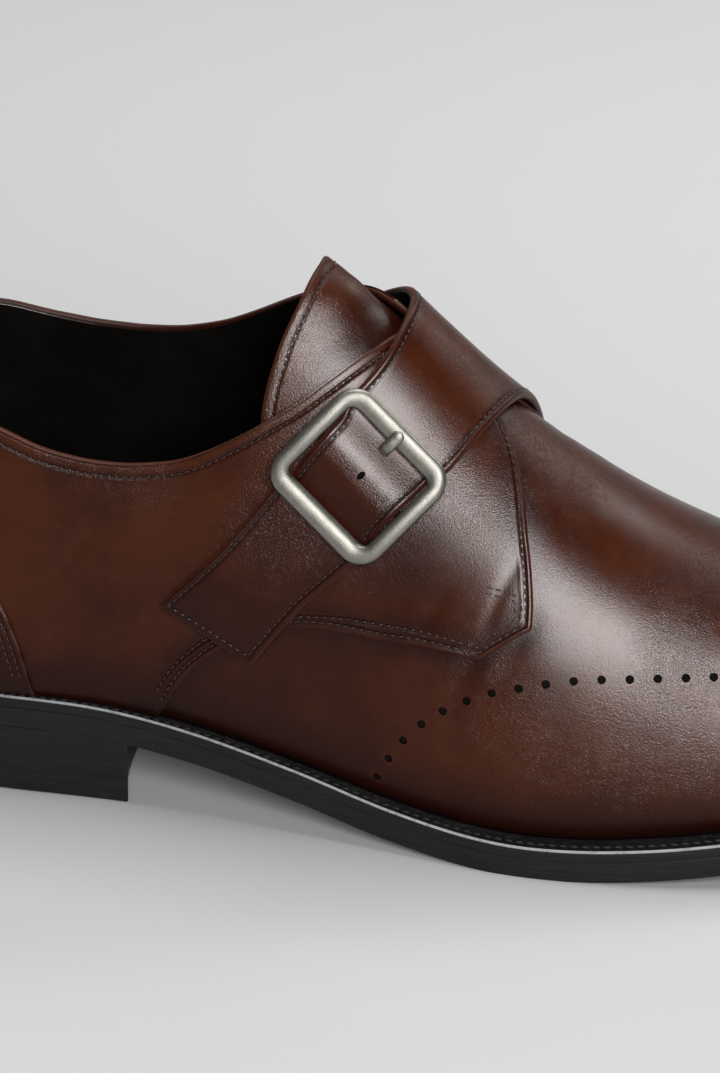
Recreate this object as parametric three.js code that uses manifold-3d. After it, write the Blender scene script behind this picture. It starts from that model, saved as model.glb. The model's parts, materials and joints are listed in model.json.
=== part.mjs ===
// Right-foot monk strap shoe: a leather upper over a last, a tongue, one buckled strap,
// a stitched welt, a leather outsole and a stacked heel. Millimetres, +X to the toe,
// +Y to the inner side of the foot, +Z up, standing on z = 0.
import * as THREE from "three";
import { mergeVertices } from "three/addons/utils/BufferGeometryUtils.js";
import Module from "manifold-3d";

const wasm = await Module();
wasm.setup();

// Driving sizes of the last and the bottom
const soleLength = 286;
const heelSeatWidth = 57;
const ballWidth = 88;
const heelRise = 18.2;
const toeSpring = 11;
const instepHeight = 93;
const heelBackInset = 3;
const toeInset = 6.5;
const toeDrift = 5;
const ridgeDrift = 3;
const wallSwell = 2.5;

// Sole stack
const outsoleThickness = 5.1;
const weltThickness = 3;
const weltWidth = 13;
const heelLength = 74;
const breastHollow = 4;
const heelTaper = 1.2;
const insoleThickness = 2.4;

// Leather
const wallThickness = 1.8;
const throatThickness = 1;
const quarterStep = 1.1;
const counterStep = 1;
const tongueThickness = 1.7;
const strapThickness = 2.2;

// Buckle
const buckleAcross = 35;
const buckleAlong = 33;
const buckleCorner = 7;
const endBarWidth = 5.2;
const sideBarWidth = 4.2;
const barThickness = 3;
const pinRadius = 1;
const prongWidth = 2.6;
const prongThickness = 1.5;
const buckleBendRadius = 110;

// Clearances
const seatGap = 0.3;
const throatGap = 0.6;

// Mesh fineness
const rearColumns = 22;
const frontColumns = 17;
const girthRows = 14;
const outlinePoints = 88;
const embed = 0.5;

const soleThickness = outsoleThickness + weltThickness + seatGap;
const featherLength = soleLength - heelBackInset - toeInset;

// Height of the feather edge over the sole's thickness: shares of the heel rise and toe spring.
const footbed = [
  { along: 0, heel: 1, toe: 0 },
  { along: 0.12, heel: 1.02, toe: 0 },
  { along: 0.245, heel: 0.967, toe: 0 },
  { along: 0.33, heel: 0.78, toe: 0 },
  { along: 0.42, heel: 0.49, toe: 0 },
  { along: 0.507, heel: 0.165, toe: 0 },
  { along: 0.594, heel: 0, toe: 0 },
  { along: 0.664, heel: 0, toe: 0 },
  { along: 0.734, heel: 0, toe: 0.136 },
  { along: 0.822, heel: 0, toe: 0.41 },
  { along: 0.909, heel: 0, toe: 0.69 },
  { along: 1, heel: 0, toe: 1 },
];

// Profile of the instep's centre line: share of the sole's length, share of the instep height
// above the ball's feather edge.
const ridge = [
  { along: 0.217, height: 1.694 },
  { along: 0.28, height: 1.608 },
  { along: 0.35, height: 1.511 },
  { along: 0.402, height: 1.42 },
  { along: 0.455, height: 1.317 },
  { along: 0.507, height: 1.193 },
  { along: 0.56, height: 1.064 },
  { along: 0.63, height: 0.911 },
  { along: 0.7, height: 0.778 },
  { along: 0.77, height: 0.675 },
  { along: 0.84, height: 0.586 },
  { along: 0.881, height: 0.531 },
];

// Ribs of the last from heel (0) to toe (1): half widths at the feather edge as shares of the
// local half width, where the rib meets the centre line, shares of the wall's swell and squareness.
const ribs = [
  { at: 0, outer: 0, inner: 0, top: 0.217, swellOuter: 1, swellInner: 1, square: 0 },
  { at: 0.1, outer: 0.614, inner: 0.597, top: 0.219, swellOuter: 1, swellInner: 1, square: 0 },
  { at: 0.2, outer: 0.947, inner: 0.93, top: 0.231, swellOuter: 1.2, swellInner: 1.2, square: 0.01 },
  { at: 0.3, outer: 1.018, inner: 0.965, top: 0.28, swellOuter: 1.6, swellInner: 1.6, square: 0.02 },
  { at: 0.4, outer: 0.984, inner: 0.754, top: 0.371, swellOuter: 1.6, swellInner: 2.4, square: 0.02 },
  { at: 0.5, outer: 0.963, inner: 0.675, top: 0.5, swellOuter: 1.2, swellInner: 2.4, square: 0.01 },
  { at: 0.6, outer: 1.011, inner: 0.852, top: 0.636, swellOuter: 1, swellInner: 1.4, square: 0.02 },
  { at: 0.7, outer: 0.938, inner: 0.937, top: 0.748, swellOuter: 1, swellInner: 1, square: 0.03 },
  { at: 0.8, outer: 0.745, inner: 0.74, top: 0.829, swellOuter: 1, swellInner: 1, square: 0.03 },
  { at: 0.9, outer: 0.41, inner: 0.42, top: 0.871, swellOuter: 1, swellInner: 1, square: 0.03 },
  { at: 1, outer: 0, inner: 0, top: 0.881, swellOuter: 1, swellInner: 1, square: 0.03 },
];
const swellPeak = 0.14;
const levelUpTo = 0.08;

// Top line: how far up each rib, from feather (0) to centre line (1), the collar lies.
const throatAt = 0.4975;
const topLine = [
  { at: 0, outer: 0.38, inner: 0.38 },
  { at: 0.1, outer: 0.36, inner: 0.385 },
  { at: 0.178, outer: 0.338, inner: 0.385 },
  { at: 0.245, outer: 0.317, inner: 0.378 },
  { at: 0.285, outer: 0.306, inner: 0.382 },
  { at: 0.319, outer: 0.309, inner: 0.397 },
  { at: 0.35, outer: 0.325, inner: 0.424 },
  { at: 0.379, outer: 0.356, inner: 0.47 },
  { at: 0.405, outer: 0.411, inner: 0.54 },
  { at: 0.4245, outer: 0.468, inner: 0.612 },
  { at: 0.449, outer: 0.565, inner: 0.72 },
  { at: 0.473, outer: 0.712, inner: 0.86 },
  { at: 0.484, outer: 0.806, inner: 0.92 },
  { at: 0.491, outer: 0.89, inner: 0.965 },
  { at: 0.4975, outer: 1, inner: 1 },
];

// Strap edges from its tip on the outer side, over the centre line (rise 1), to its root.
const strapEdges = [
  { along: 0, backAt: 0.3748, backRise: 0.173, frontAt: 0.43, frontRise: 0.146 },
  { along: 0.1, backAt: 0.4006, backRise: 0.247, frontAt: 0.4535, frontRise: 0.232 },
  { along: 0.2, backAt: 0.4225, backRise: 0.331, frontAt: 0.479, frontRise: 0.326 },
  { along: 0.3, backAt: 0.4445, backRise: 0.44, frontAt: 0.5045, frontRise: 0.445 },
  { along: 0.4, backAt: 0.4675, backRise: 0.58, frontAt: 0.528, frontRise: 0.586 },
  { along: 0.5, backAt: 0.484, backRise: 0.735, frontAt: 0.5455, frontRise: 0.762 },
  { along: 0.6, backAt: 0.4875, backRise: 0.93, frontAt: 0.5575, frontRise: 0.965 },
  { along: 0.7, backAt: 0.48, backRise: 1.12, frontAt: 0.564, frontRise: 1.165 },
  { along: 0.8, backAt: 0.466, backRise: 1.27, frontAt: 0.568, frontRise: 1.335 },
  { along: 0.9, backAt: 0.451, backRise: 1.39, frontAt: 0.57, frontRise: 1.465 },
  { along: 1, backAt: 0.437, backRise: 1.49, frontAt: 0.571, frontRise: 1.57 },
];
const buckleStation = 0.329;
const strapLift = 2.6;
const strapLiftSpan = 8;

// Outer-side outline of the quarter over the vamp, and the counter over the quarter, seen
// from the side: shares of the sole's length and of the instep height.
const quarterEdge = [
  { along: 0.55, height: 1.25 },
  { along: 0.577, height: 1.104 },
  { along: 0.591, height: 1.046 },
  { along: 0.603, height: 0.97 },
  { along: 0.611, height: 0.88 },
  { along: 0.6185, height: 0.783 },
  { along: 0.623, height: 0.667 },
  { along: 0.6215, height: 0.65 },
  { along: 0.579, height: 0.566 },
  { along: 0.5245, height: 0.585 },
  { along: 0.4515, height: 0.597 },
  { along: 0.412, height: 0.589 },
  { along: 0.38, height: 0.563 },
  { along: 0.3535, height: 0.514 },
  { along: 0.323, height: 0.43 },
  { along: 0.294, height: 0.25 },
];
const counterEdge = [
  { along: 0.18, height: 0.25 },
  { along: 0.177, height: 0.302 },
  { along: 0.163, height: 0.434 },
  { along: 0.15, height: 0.549 },
  { along: 0.128, height: 0.68 },
  { along: 0.095, height: 0.79 },
  { along: 0.055, height: 0.86 },
  { along: -0.05, height: 0.88 },
];

// Smooth curve through a table's rows, by their first column.
function track(rows, column, at) {
  const key = Object.keys(rows[0])[0];
  const last = rows.length - 1;
  let i = 0;
  while (i < last - 1 && at > rows[i + 1][key]) i += 1;
  const step = (k) => rows[k + 1][key] - rows[k][key];
  const rate = (k) => (rows[k + 1][column] - rows[k][column]) / step(k);
  const slope = (k) => {
    if (k === 0) return rate(0);
    if (k === last) return rate(last - 1);
    return (rate(k - 1) * step(k) + rate(k) * step(k - 1)) / (step(k) + step(k - 1));
  };
  const h = step(i);
  const u = (at - rows[i][key]) / h;
  const v = 1 - u;
  return (
    rows[i][column] * (1 + 2 * u) * v * v +
    slope(i) * h * u * v * v +
    rows[i + 1][column] * u * u * (3 - 2 * u) -
    slope(i + 1) * h * u * u * v
  );
}

const { clamp, lerp, smoothstep } = THREE.MathUtils;

function featherHeight(x) {
  const along = clamp(x / soleLength, 0, 1);
  return (
    soleThickness +
    heelRise * track(footbed, "heel", along) +
    toeSpring * track(footbed, "toe", along)
  );
}

function ridgeHeight(x) {
  return soleThickness + seatGap + instepHeight * track(ridge, "height", x / soleLength);
}

// Turn runs round the last: -1 heel, 0 toe, 1 heel again; negative is the outer side.
function wrapTurn(turn) {
  if (turn > 1) return turn - 2;
  if (turn < -1) return turn + 2;
  return turn;
}

function featherPoint(turn) {
  const side = Math.sign(wrapTurn(turn));
  const at = 1 - Math.abs(wrapTurn(turn));
  const x = heelBackInset + (featherLength * (1 - Math.cos(Math.PI * at))) / 2;
  const half = lerp(heelSeatWidth, ballWidth, smoothstep(at, 0.3, 0.6)) / 2;
  const share = track(ribs, side < 0 ? "outer" : "inner", at);
  const drift = toeDrift * smoothstep(at, 0.6, 1);
  return new THREE.Vector2(x, side * half * share + drift);
}

// A point on the last's skin. Rise past 1 comes down the other side.
function lastPoint(turn, rise) {
  if (rise > 1) return lastPoint(-turn, 2 - rise);
  const wrapped = wrapTurn(turn);
  const at = 1 - Math.abs(wrapped);
  const foot = featherPoint(wrapped);
  const footZ = featherHeight(foot.x) + seatGap;
  const topX = soleLength * track(ribs, "top", at);
  const topY = ridgeDrift * smoothstep(at, 0.5, 1);
  const topZ = ridgeHeight(topX);
  const run = new THREE.Vector2(topX, topY).sub(foot);
  const climb = topZ - footZ;
  const grade = (ridgeHeight(topX + 0.1) - ridgeHeight(topX - 0.1)) / 0.2;
  const fall = (grade * run.x) / climb;
  const endCosine = clamp(fall / (1 - fall), -0.6, 0.6);
  const sweep = Math.acos(endCosine);
  const square = track(ribs, "square", at) * Math.sin(Math.PI * rise) ** 2;
  const inward = (1 - Math.cos(sweep * rise)) / (1 - endCosine) - square;
  const upward = Math.sin(sweep * rise) / Math.sin(sweep) + square;
  const swell =
    wallSwell *
    track(ribs, wrapped < 0 ? "swellOuter" : "swellInner", at) *
    (rise / swellPeak) *
    Math.exp(1 - rise / swellPeak) *
    (1 - rise);
  const shift = inward - swell / run.length();
  return new THREE.Vector3(foot.x + run.x * shift, foot.y + run.y * shift, footZ + climb * upward);
}

// Outward direction of the skin; level at the feather edge, so every layer stands on the welt.
function lastNormal(turn, rise) {
  const e = 0.002;
  const round = lastPoint(turn + e, rise).sub(lastPoint(turn - e, rise));
  const up = lastPoint(turn, rise + e).sub(lastPoint(turn, Math.max(rise - e, 0)));
  const normal = round.cross(up).normalize();
  normal.z *= smoothstep(rise, 0, levelUpTo);
  return normal.normalize();
}

// The two sides share one point on the centre line.
function onLast(turn, rise, out) {
  const one = rise === 1 ? -Math.abs(turn) : turn;
  return lastPoint(one, rise).addScaledVector(lastNormal(one, rise), out);
}

// Solid from triangles given as flat vertex coordinates.
function solidOf(geometry) {
  geometry.deleteAttribute("normal");
  geometry.deleteAttribute("uv");
  const merged = mergeVertices(geometry, 1e-4);
  return new wasm.Manifold(
    new wasm.Mesh({
      numProp: 3,
      vertProperties: new Float32Array(merged.attributes.position.array),
      triVerts: new Uint32Array(merged.index.array),
    }),
  );
}

// The largest piece of a solid, without slivers and sealed bubbles.
function mainBody(solid) {
  return solid.decompose().reduce((a, b) => (a.volume() > b.volume() ? a : b));
}

function geometryOf(solid) {
  const mesh = solid.getMesh();
  return new THREE.BufferGeometry()
    .setAttribute("position", new THREE.BufferAttribute(new Float32Array(mesh.vertProperties), 3))
    .setIndex(new THREE.BufferAttribute(new Uint32Array(mesh.triVerts), 1));
}

// Gathers quads, dropping corners that coincide.
class Skin {
  constructor() {
    this.coordinates = [];
  }
  triangle(a, b, c) {
    const near = (p, q) => p.distanceTo(q) < 1e-4;
    if (near(a, b) || near(b, c) || near(c, a)) return;
    for (const p of [a, b, c]) this.coordinates.push(p.x, p.y, p.z);
  }
  quad(a, b, c, d) {
    this.triangle(a, b, c);
    this.triangle(a, c, d);
  }
  solid() {
    const position = new THREE.Float32BufferAttribute(this.coordinates, 3);
    return solidOf(new THREE.BufferGeometry().setAttribute("position", position));
  }
}

// Closed sheet between two layers of points; edges that meet another edge are left unwalled.
function sheet(columns, rows, point, { loop = false, topOpen = () => true } = {}) {
  const skin = new Skin();
  const layer = (out) =>
    Array.from({ length: columns + 1 }, (_, i) =>
      Array.from({ length: rows + 1 }, (__, j) => point(loop ? i % columns : i, j, out)),
    );
  const outer = layer(true);
  const inner = layer(false);
  for (let i = 0; i < columns; i += 1) {
    for (let j = 0; j < rows; j += 1) {
      skin.quad(outer[i][j], outer[i + 1][j], outer[i + 1][j + 1], outer[i][j + 1]);
      skin.quad(inner[i][j], inner[i][j + 1], inner[i + 1][j + 1], inner[i + 1][j]);
    }
    skin.quad(inner[i][0], inner[i + 1][0], outer[i + 1][0], outer[i][0]);
    if (topOpen(i))
      skin.quad(outer[i][rows], outer[i + 1][rows], inner[i + 1][rows], inner[i][rows]);
  }
  if (!loop)
    for (let j = 0; j < rows; j += 1) {
      skin.quad(inner[0][j], outer[0][j], outer[0][j + 1], inner[0][j + 1]);
      skin.quad(outer[columns][j], inner[columns][j], inner[columns][j + 1], outer[columns][j + 1]);
    }
  return skin.solid();
}

// Stations round the last, with one exactly at the throat's end and closer ones near it.
function turnStations() {
  const rear = Array.from(
    { length: rearColumns },
    (_, i) => throatAt * (1 - (1 - i / rearColumns) ** 1.7),
  );
  const front = Array.from(
    { length: frontColumns },
    (_, i) => throatAt + ((1 - throatAt) * i) / frontColumns,
  );
  const outerSide = [...rear, ...front].map((at) => at - 1);
  return [...outerSide, 0, ...outerSide.slice(1).reverse().map((turn) => -turn)];
}

function topRise(turn) {
  const at = 1 - Math.abs(turn);
  return at >= throatAt ? 1 : track(topLine, turn < 0 ? "outer" : "inner", at);
}

// The wall thins where the tongue lies behind it.
function wallAt(turn, rise) {
  const at = 1 - Math.abs(turn);
  const behind = smoothstep(at, 0.36, 0.42) * (1 - smoothstep(at, 0.56, 0.62));
  const high = smoothstep(rise, 0.3, 0.42);
  return lerp(wallThickness, throatThickness, behind * high);
}

function shell(outerOut, innerOut) {
  const turns = turnStations();
  const open = (turn) => 1 - Math.abs(turn) < throatAt - 1e-9;
  return sheet(
    turns.length,
    girthRows,
    (i, j, out) => {
      const rise = topRise(turns[i]) * (1 - (1 - j / girthRows) ** 1.25);
      return onLast(turns[i], rise, out ? outerOut : innerOut(turns[i], rise));
    },
    {
      loop: true,
      topOpen: (i) => open(turns[i]) || open(turns[(i + 1) % turns.length]),
    },
  );
}

// Prism seen from the side, running across the shoe from one y to another.
function sidePrism(corners, yFrom, yTo) {
  const shape = new THREE.Shape(corners.map(([x, z]) => new THREE.Vector2(x, z)));
  const depth = yTo - yFrom;
  const geometry = new THREE.ExtrudeGeometry(shape, { depth, bevelEnabled: false, steps: 1 });
  return solidOf(geometry.rotateX(Math.PI / 2).translate(0, yTo, 0));
}

const farSide = 2 * ballWidth;
const farUp = 2 * instepHeight;
const edgeCorners = (edge) =>
  edge.map(({ along, height }) => [along * soleLength, height * instepHeight]);

function makeUpper() {
  const behindQuarter = [
    ...edgeCorners(quarterEdge),
    [quarterEdge.at(-1).along * soleLength, -farUp],
    [-farSide, -farUp],
    [-farSide, farUp],
    [quarterEdge[0].along * soleLength, farUp],
  ];
  const behindCounter = [...edgeCorners(counterEdge), [-farSide, 0], [counterEdge[0].along * soleLength, 0]];
  const within = () => -embed;
  const quarters = shell(quarterStep, within).intersect(sidePrism(behindQuarter, -farSide, farSide));
  const counter = shell(quarterStep + counterStep, within).intersect(
    sidePrism(behindCounter, -farSide, farSide),
  );
  const wall = shell(0, (turn, rise) => -wallAt(turn, rise));
  return mainBody(wall.add(quarters).add(counter));
}

// Tongue
const tongueEnd = [
  { across: 0, at: 0.4385 },
  { across: 0.25, at: 0.437 },
  { across: 0.47, at: 0.4338 },
  { across: 0.72, at: 0.426 },
  { across: 0.9, at: 0.4212 },
  { across: 1, at: 0.4203 },
];
const tongueFrontAt = 0.55;
const tongueColumns = 14;
const tongueRows = 20;
const tongueSideRise = 0.44;
const tongueFrontRise = 0.62;

function makeTongue() {
  return sheet(tongueColumns, tongueRows, (i, j, out) => {
    const length = i / tongueColumns;
    const across = (2 * j) / tongueRows - 1;
    const at = lerp(track(tongueEnd, "at", Math.abs(across)), tongueFrontAt, length);
    const sideRise = lerp(tongueSideRise, tongueFrontRise, length);
    const rise = 1 - Math.abs(across) * (1 - sideRise);
    const turn = (at - 1) * (across <= 0 ? 1 : -1);
    const above = smoothstep(rise - topRise(turn), 0.08, 0.28);
    const clear = above * (1 - smoothstep(at, throatAt - 0.042, throatAt - 0.016));
    const under = -(throatThickness + throatGap) * (1 - clear);
    return onLast(turn, rise, out ? under : under - tongueThickness);
  });
}

// Strap
const strapColumns = 42;
const strapRows = 4;
const strapFloor = quarterStep + seatGap;

function strapCentre(along, across = 0.5) {
  const edge = (column) => track(strapEdges, column, along);
  const at = lerp(edge("backAt"), edge("frontAt"), across);
  const rise = lerp(edge("backRise"), edge("frontRise"), across);
  return { turn: at - 1, rise };
}

// The buckle's own frame: u along the strap to its root, v to the toe, n out of the leather.
function buckleFrame() {
  const place = (along) => {
    const { turn, rise } = strapCentre(along);
    return onLast(turn, rise, strapFloor);
  };
  const { turn, rise } = strapCentre(buckleStation);
  const origin = place(buckleStation);
  const n = lastNormal(turn, rise);
  const along = place(buckleStation + 0.02).sub(place(buckleStation - 0.02));
  const u = along.addScaledVector(n, -along.dot(n)).normalize();
  const v = n.clone().cross(u);
  return { origin, u, v, n, matrix: new THREE.Matrix4().makeBasis(u, v, n).setPosition(origin) };
}

const frame = buckleFrame();

// Sag of the bent frame below its middle.
const bend = (u) => (u * u) / (2 * buckleBendRadius);

function strapLiftAt(point) {
  const u = point.clone().sub(frame.origin).dot(frame.u);
  return strapLift * (1 - smoothstep(Math.abs(u), 1, strapLiftSpan + 4));
}

const prongSlotFrom = 3.8;
const prongSlotTo = 10.8;
const spareHole = { from: -3.2, to: -0.8, width: 1.6 };

function makeStrap() {
  const body = sheet(strapRows, strapColumns, (i, j, out) => {
    const along = j / strapColumns;
    const middle = strapCentre(along);
    const u = onLast(middle.turn, middle.rise, strapFloor).sub(frame.origin).dot(frame.u);
    const across = i / strapRows;
    const narrowed = 1 - 0.11 * (1 - smoothstep(Math.abs(u), 8, 14));
    const { turn, rise } = strapCentre(along, 0.5 + (across - 0.5) * narrowed);
    const base = onLast(turn, rise, strapFloor);
    const lift = strapLiftAt(base);
    return onLast(turn, rise, strapFloor + lift + (out ? strapThickness : 0));
  });
  const punch = (from, to, width) =>
    solidOf(
      new THREE.BoxGeometry(to - from, width, farSide)
        .translate((from + to) / 2, 0, 0)
        .applyMatrix4(frame.matrix),
    );
  return body
    .subtract(punch(prongSlotFrom, prongSlotTo, prongWidth + 6 * seatGap))
    .subtract(punch(spareHole.from, spareHole.to, spareHole.width));
}

// Levels above the leather that the strap runs on
const barLevel = strapThickness + 2 * seatGap + barThickness / 2;
const pinLevel = pinRadius + 0.1;

// Closed tube along a path; each stop has its centre, two directions and a width.
function tube(path, height, loop) {
  const skin = new Skin();
  const rings = path.map(({ centre, side, up, width }) =>
    oval(width, height).map(([a, b]) =>
      centre.clone().addScaledVector(side, a).addScaledVector(up, b),
    ),
  );
  const count = rings[0].length;
  const spans = loop ? rings.length : rings.length - 1;
  for (let i = 0; i < spans; i += 1) {
    const here = rings[i];
    const next = rings[(i + 1) % rings.length];
    for (let k = 0; k < count; k += 1) {
      const m = (k + 1) % count;
      skin.quad(here[k], here[m], next[m], next[k]);
    }
  }
  if (!loop)
    for (let k = 1; k < count - 1; k += 1) {
      skin.triangle(rings[0][0], rings[0][k + 1], rings[0][k]);
      const end = rings.at(-1);
      skin.triangle(end[0], end[k], end[k + 1]);
    }
  return skin.solid();
}

function oval(width, height) {
  const sides = 10;
  const bulge = (value) => Math.sign(value) * Math.abs(value) ** 0.8;
  return Array.from({ length: sides }, (_, k) => {
    const angle = (2 * Math.PI * (k + 0.5)) / sides;
    return [(width / 2) * bulge(Math.cos(angle)), (height / 2) * bulge(Math.sin(angle))];
  });
}

const bow = (u) => new THREE.Vector3(u / buckleBendRadius, 0, 1).normalize();

function makeBuckleFrame() {
  const halfU = (buckleAlong - endBarWidth) / 2;
  const halfV = (buckleAcross - sideBarWidth) / 2;
  const corner = buckleCorner - endBarWidth / 2;
  const cornerSteps = 5;
  const path = [];
  for (let quarter = 0; quarter < 4; quarter += 1)
    for (let step = 0; step <= cornerSteps; step += 1) {
      const angle = (Math.PI / 2) * (quarter + step / cornerSteps);
      const outward = new THREE.Vector3(Math.cos(angle), Math.sin(angle), 0);
      const signU = quarter === 0 || quarter === 3 ? 1 : -1;
      const signV = quarter < 2 ? 1 : -1;
      const u = signU * (halfU - corner) + corner * outward.x;
      const v = signV * (halfV - corner) + corner * outward.y;
      path.push({
        centre: new THREE.Vector3(u, v, barLevel - bend(u)),
        side: outward.clone().negate(),
        up: bow(u),
        width: lerp(sideBarWidth, endBarWidth, outward.x ** 2),
      });
    }
  const rim = tube(path, barThickness, true);
  const pinHalf = halfV;
  const pinPath = [
    [-pinHalf, barLevel],
    [-pinHalf, pinLevel],
    [pinHalf, pinLevel],
    [pinHalf, barLevel],
  ];
  const post = ([v, from], [, to]) =>
    solidOf(
      new THREE.CylinderGeometry(pinRadius, pinRadius, Math.abs(to - from) + pinRadius, 10)
        .rotateX(Math.PI / 2)
        .translate(0, v, (from + to) / 2),
    );
  const pin = solidOf(
    new THREE.CylinderGeometry(pinRadius, pinRadius, 2 * (pinHalf + pinRadius), 10).translate(0, 0, pinLevel),
  );
  return rim.add(pin).add(post(pinPath[0], pinPath[1])).add(post(pinPath[3], pinPath[2]));
}

function makeProng() {
  const barU = (buckleAlong - endBarWidth) / 2;
  const rest = barLevel + barThickness / 2 + seatGap + prongThickness / 2 - bend(barU);
  const start = pinRadius + seatGap;
  const slotMiddle = (prongSlotFrom + prongSlotTo) / 2;
  const route = [
    [start, pinLevel],
    [slotMiddle - 1.2, pinLevel + 0.2],
    [slotMiddle - 0.4, pinLevel + 1],
    [slotMiddle + 0.7, rest - 1.6],
    [slotMiddle + 2, rest - 0.5],
    [barU - 1.5, rest],
    [barU + 0.8, rest],
    [barU + 1.8, rest - 0.2],
  ];
  const path = route.map(([u, level], i) => {
    const before = route[Math.max(i - 1, 0)];
    const after = route[Math.min(i + 1, route.length - 1)];
    const lean = new THREE.Vector2(after[0] - before[0], after[1] - before[1]).normalize();
    return {
      centre: new THREE.Vector3(u, 0, level),
      side: new THREE.Vector3(0, 1, 0),
      up: new THREE.Vector3(-lean.y, 0, lean.x),
      width: prongWidth,
    };
  });
  return tube(path, prongThickness, false);
}

// Outline of the bottom: the feather edge pushed out in plan.
function outlineAt(turn, out) {
  const e = 0.002;
  const ahead = featherPoint(turn + e);
  const along = ahead.sub(featherPoint(turn - e)).normalize();
  return featherPoint(turn).add(new THREE.Vector2(along.y, -along.x).multiplyScalar(out));
}

const weltReach = [
  { at: 0, reach: 3 },
  { at: 0.2, reach: 3 },
  { at: 0.4, reach: 3.8 },
  { at: 0.6, reach: 6 },
  { at: 0.8, reach: 6.5 },
  { at: 1, reach: 6.5 },
];
const reachAt = (turn) => track(weltReach, "reach", 1 - Math.abs(turn));

// Plate that follows the footbed: rings of {out, z} from the bottom up.
function plate(rings) {
  const skin = new Skin();
  const turnAt = (i) => -1 + (2 * i) / outlinePoints;
  const levels = rings.map(({ out, height }) =>
    Array.from({ length: outlinePoints }, (_, i) => {
      const p = outlineAt(turnAt(i), out(turnAt(i)));
      return new THREE.Vector3(p.x, p.y, height(p.x));
    }),
  );
  const next = (i) => (i + 1) % outlinePoints;
  for (let level = 0; level < levels.length - 1; level += 1)
    for (let i = 0; i < outlinePoints; i += 1)
      skin.quad(
        levels[level][i],
        levels[level][next(i)],
        levels[level + 1][next(i)],
        levels[level + 1][i],
      );
  const across = (ring, up) => {
    for (let i = 0; i < outlinePoints / 2; i += 1) {
      const a = ring[i];
      const b = ring[next(i)];
      const c = ring[(outlinePoints - i - 1) % outlinePoints];
      const d = ring[(outlinePoints - i) % outlinePoints];
      if (up) skin.quad(a, b, c, d);
      else skin.quad(d, c, b, a);
    }
  };
  across(levels[0], false);
  across(levels.at(-1), true);
  return skin.solid();
}

const edgeBevel = 0.7;
const weltTop = (x) => featherHeight(x);
const weltBottom = (x) => featherHeight(x) - weltThickness;
const outsoleTop = (x) => weltBottom(x) - seatGap;
const outsoleBottom = (x) => Math.max(featherHeight(x) - soleThickness, 0);

function makeOutsole() {
  return plate([
    { out: (turn) => reachAt(turn) - edgeBevel, height: outsoleBottom },
    { out: reachAt, height: (x) => outsoleBottom(x) + edgeBevel },
    { out: reachAt, height: outsoleTop },
  ]);
}

function makeWelt() {
  const outer = plate([
    { out: reachAt, height: weltBottom },
    { out: reachAt, height: (x) => weltTop(x) - edgeBevel },
    { out: (turn) => reachAt(turn) - edgeBevel, height: weltTop },
  ]);
  const inside = (turn) => reachAt(turn) - weltWidth;
  const hollow = plate([
    { out: inside, height: (x) => weltBottom(x) - 1 },
    { out: inside, height: (x) => weltTop(x) + 1 },
  ]);
  return outer.subtract(hollow);
}

function makeInsole() {
  const out = () => -wallThickness - seatGap;
  return plate([
    { out, height: (x) => featherHeight(x) + seatGap },
    { out, height: (x) => featherHeight(x) + seatGap + insoleThickness },
  ]);
}

function makeHeel() {
  const block = plate([
    { out: (turn) => reachAt(turn) - heelTaper, height: () => 0 },
    { out: reachAt, height: (x) => outsoleBottom(x) - seatGap },
  ]);
  const breastRadius = heelSeatWidth ** 2 / (8 * breastHollow) + breastHollow / 2;
  const front = solidOf(
    new THREE.BoxGeometry(soleLength, farSide, farUp).translate(heelLength + soleLength / 2, 0, 0),
  );
  const hollow = solidOf(
    new THREE.CylinderGeometry(breastRadius, breastRadius, farUp, 96)
      .rotateX(Math.PI / 2)
      .translate(heelLength - breastHollow + breastRadius, 0, 0),
  );
  return block.subtract(front).subtract(hollow);
}

const finishes = {
  leather: new THREE.MeshStandardMaterial({ color: 0x4a1f12, roughness: 0.38 }),
  strap: new THREE.MeshStandardMaterial({ color: 0x4a1f12, roughness: 0.36 }),
  lining: new THREE.MeshStandardMaterial({ color: 0x1b1815, roughness: 0.85 }),
  edge: new THREE.MeshStandardMaterial({ color: 0x121314, roughness: 0.45 }),
  metal: new THREE.MeshStandardMaterial({ color: 0xb9b6ae, roughness: 0.3, metalness: 1 }),
};

function node(name, solid, finish) {
  const mesh = new THREE.Mesh(geometryOf(solid), finishes[finish]);
  mesh.name = name;
  return mesh;
}

const shoe = new THREE.Group();
shoe.add(
  node("outsole", makeOutsole(), "edge"),
  node("heel", makeHeel(), "edge"),
  node("welt", makeWelt(), "edge"),
  node("insole", makeInsole(), "lining"),
  node("upper", makeUpper(), "leather"),
  node("tongue", makeTongue(), "leather"),
  node("strap", makeStrap(), "strap"),
);

const buckle = new THREE.Group();
buckle.applyMatrix4(frame.matrix);
buckle.add(
  node("buckle_frame", makeBuckleFrame(), "metal"),
  node("buckle_prong", makeProng(), "metal"),
);
shoe.add(buckle);

// Origin on the floor, under the middle of the shoe's own length and width.
shoe.updateMatrixWorld(true);
const extent = new THREE.Box3().setFromObject(shoe, true);
const middle = extent.getCenter(new THREE.Vector3());
shoe.position.set(-middle.x, -middle.y, -extent.min.z);

export default shoe;
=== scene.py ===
"""Right monk strap shoe: burnished leather panels, strap, buckle, welt and sole."""

import json
import logging
import math
from dataclasses import dataclass
from enum import Enum
from typing import Callable, Sequence

import bmesh
import bpy
import numpy as np
from mathutils import Matrix, Vector
from mathutils.kdtree import KDTree

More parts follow.
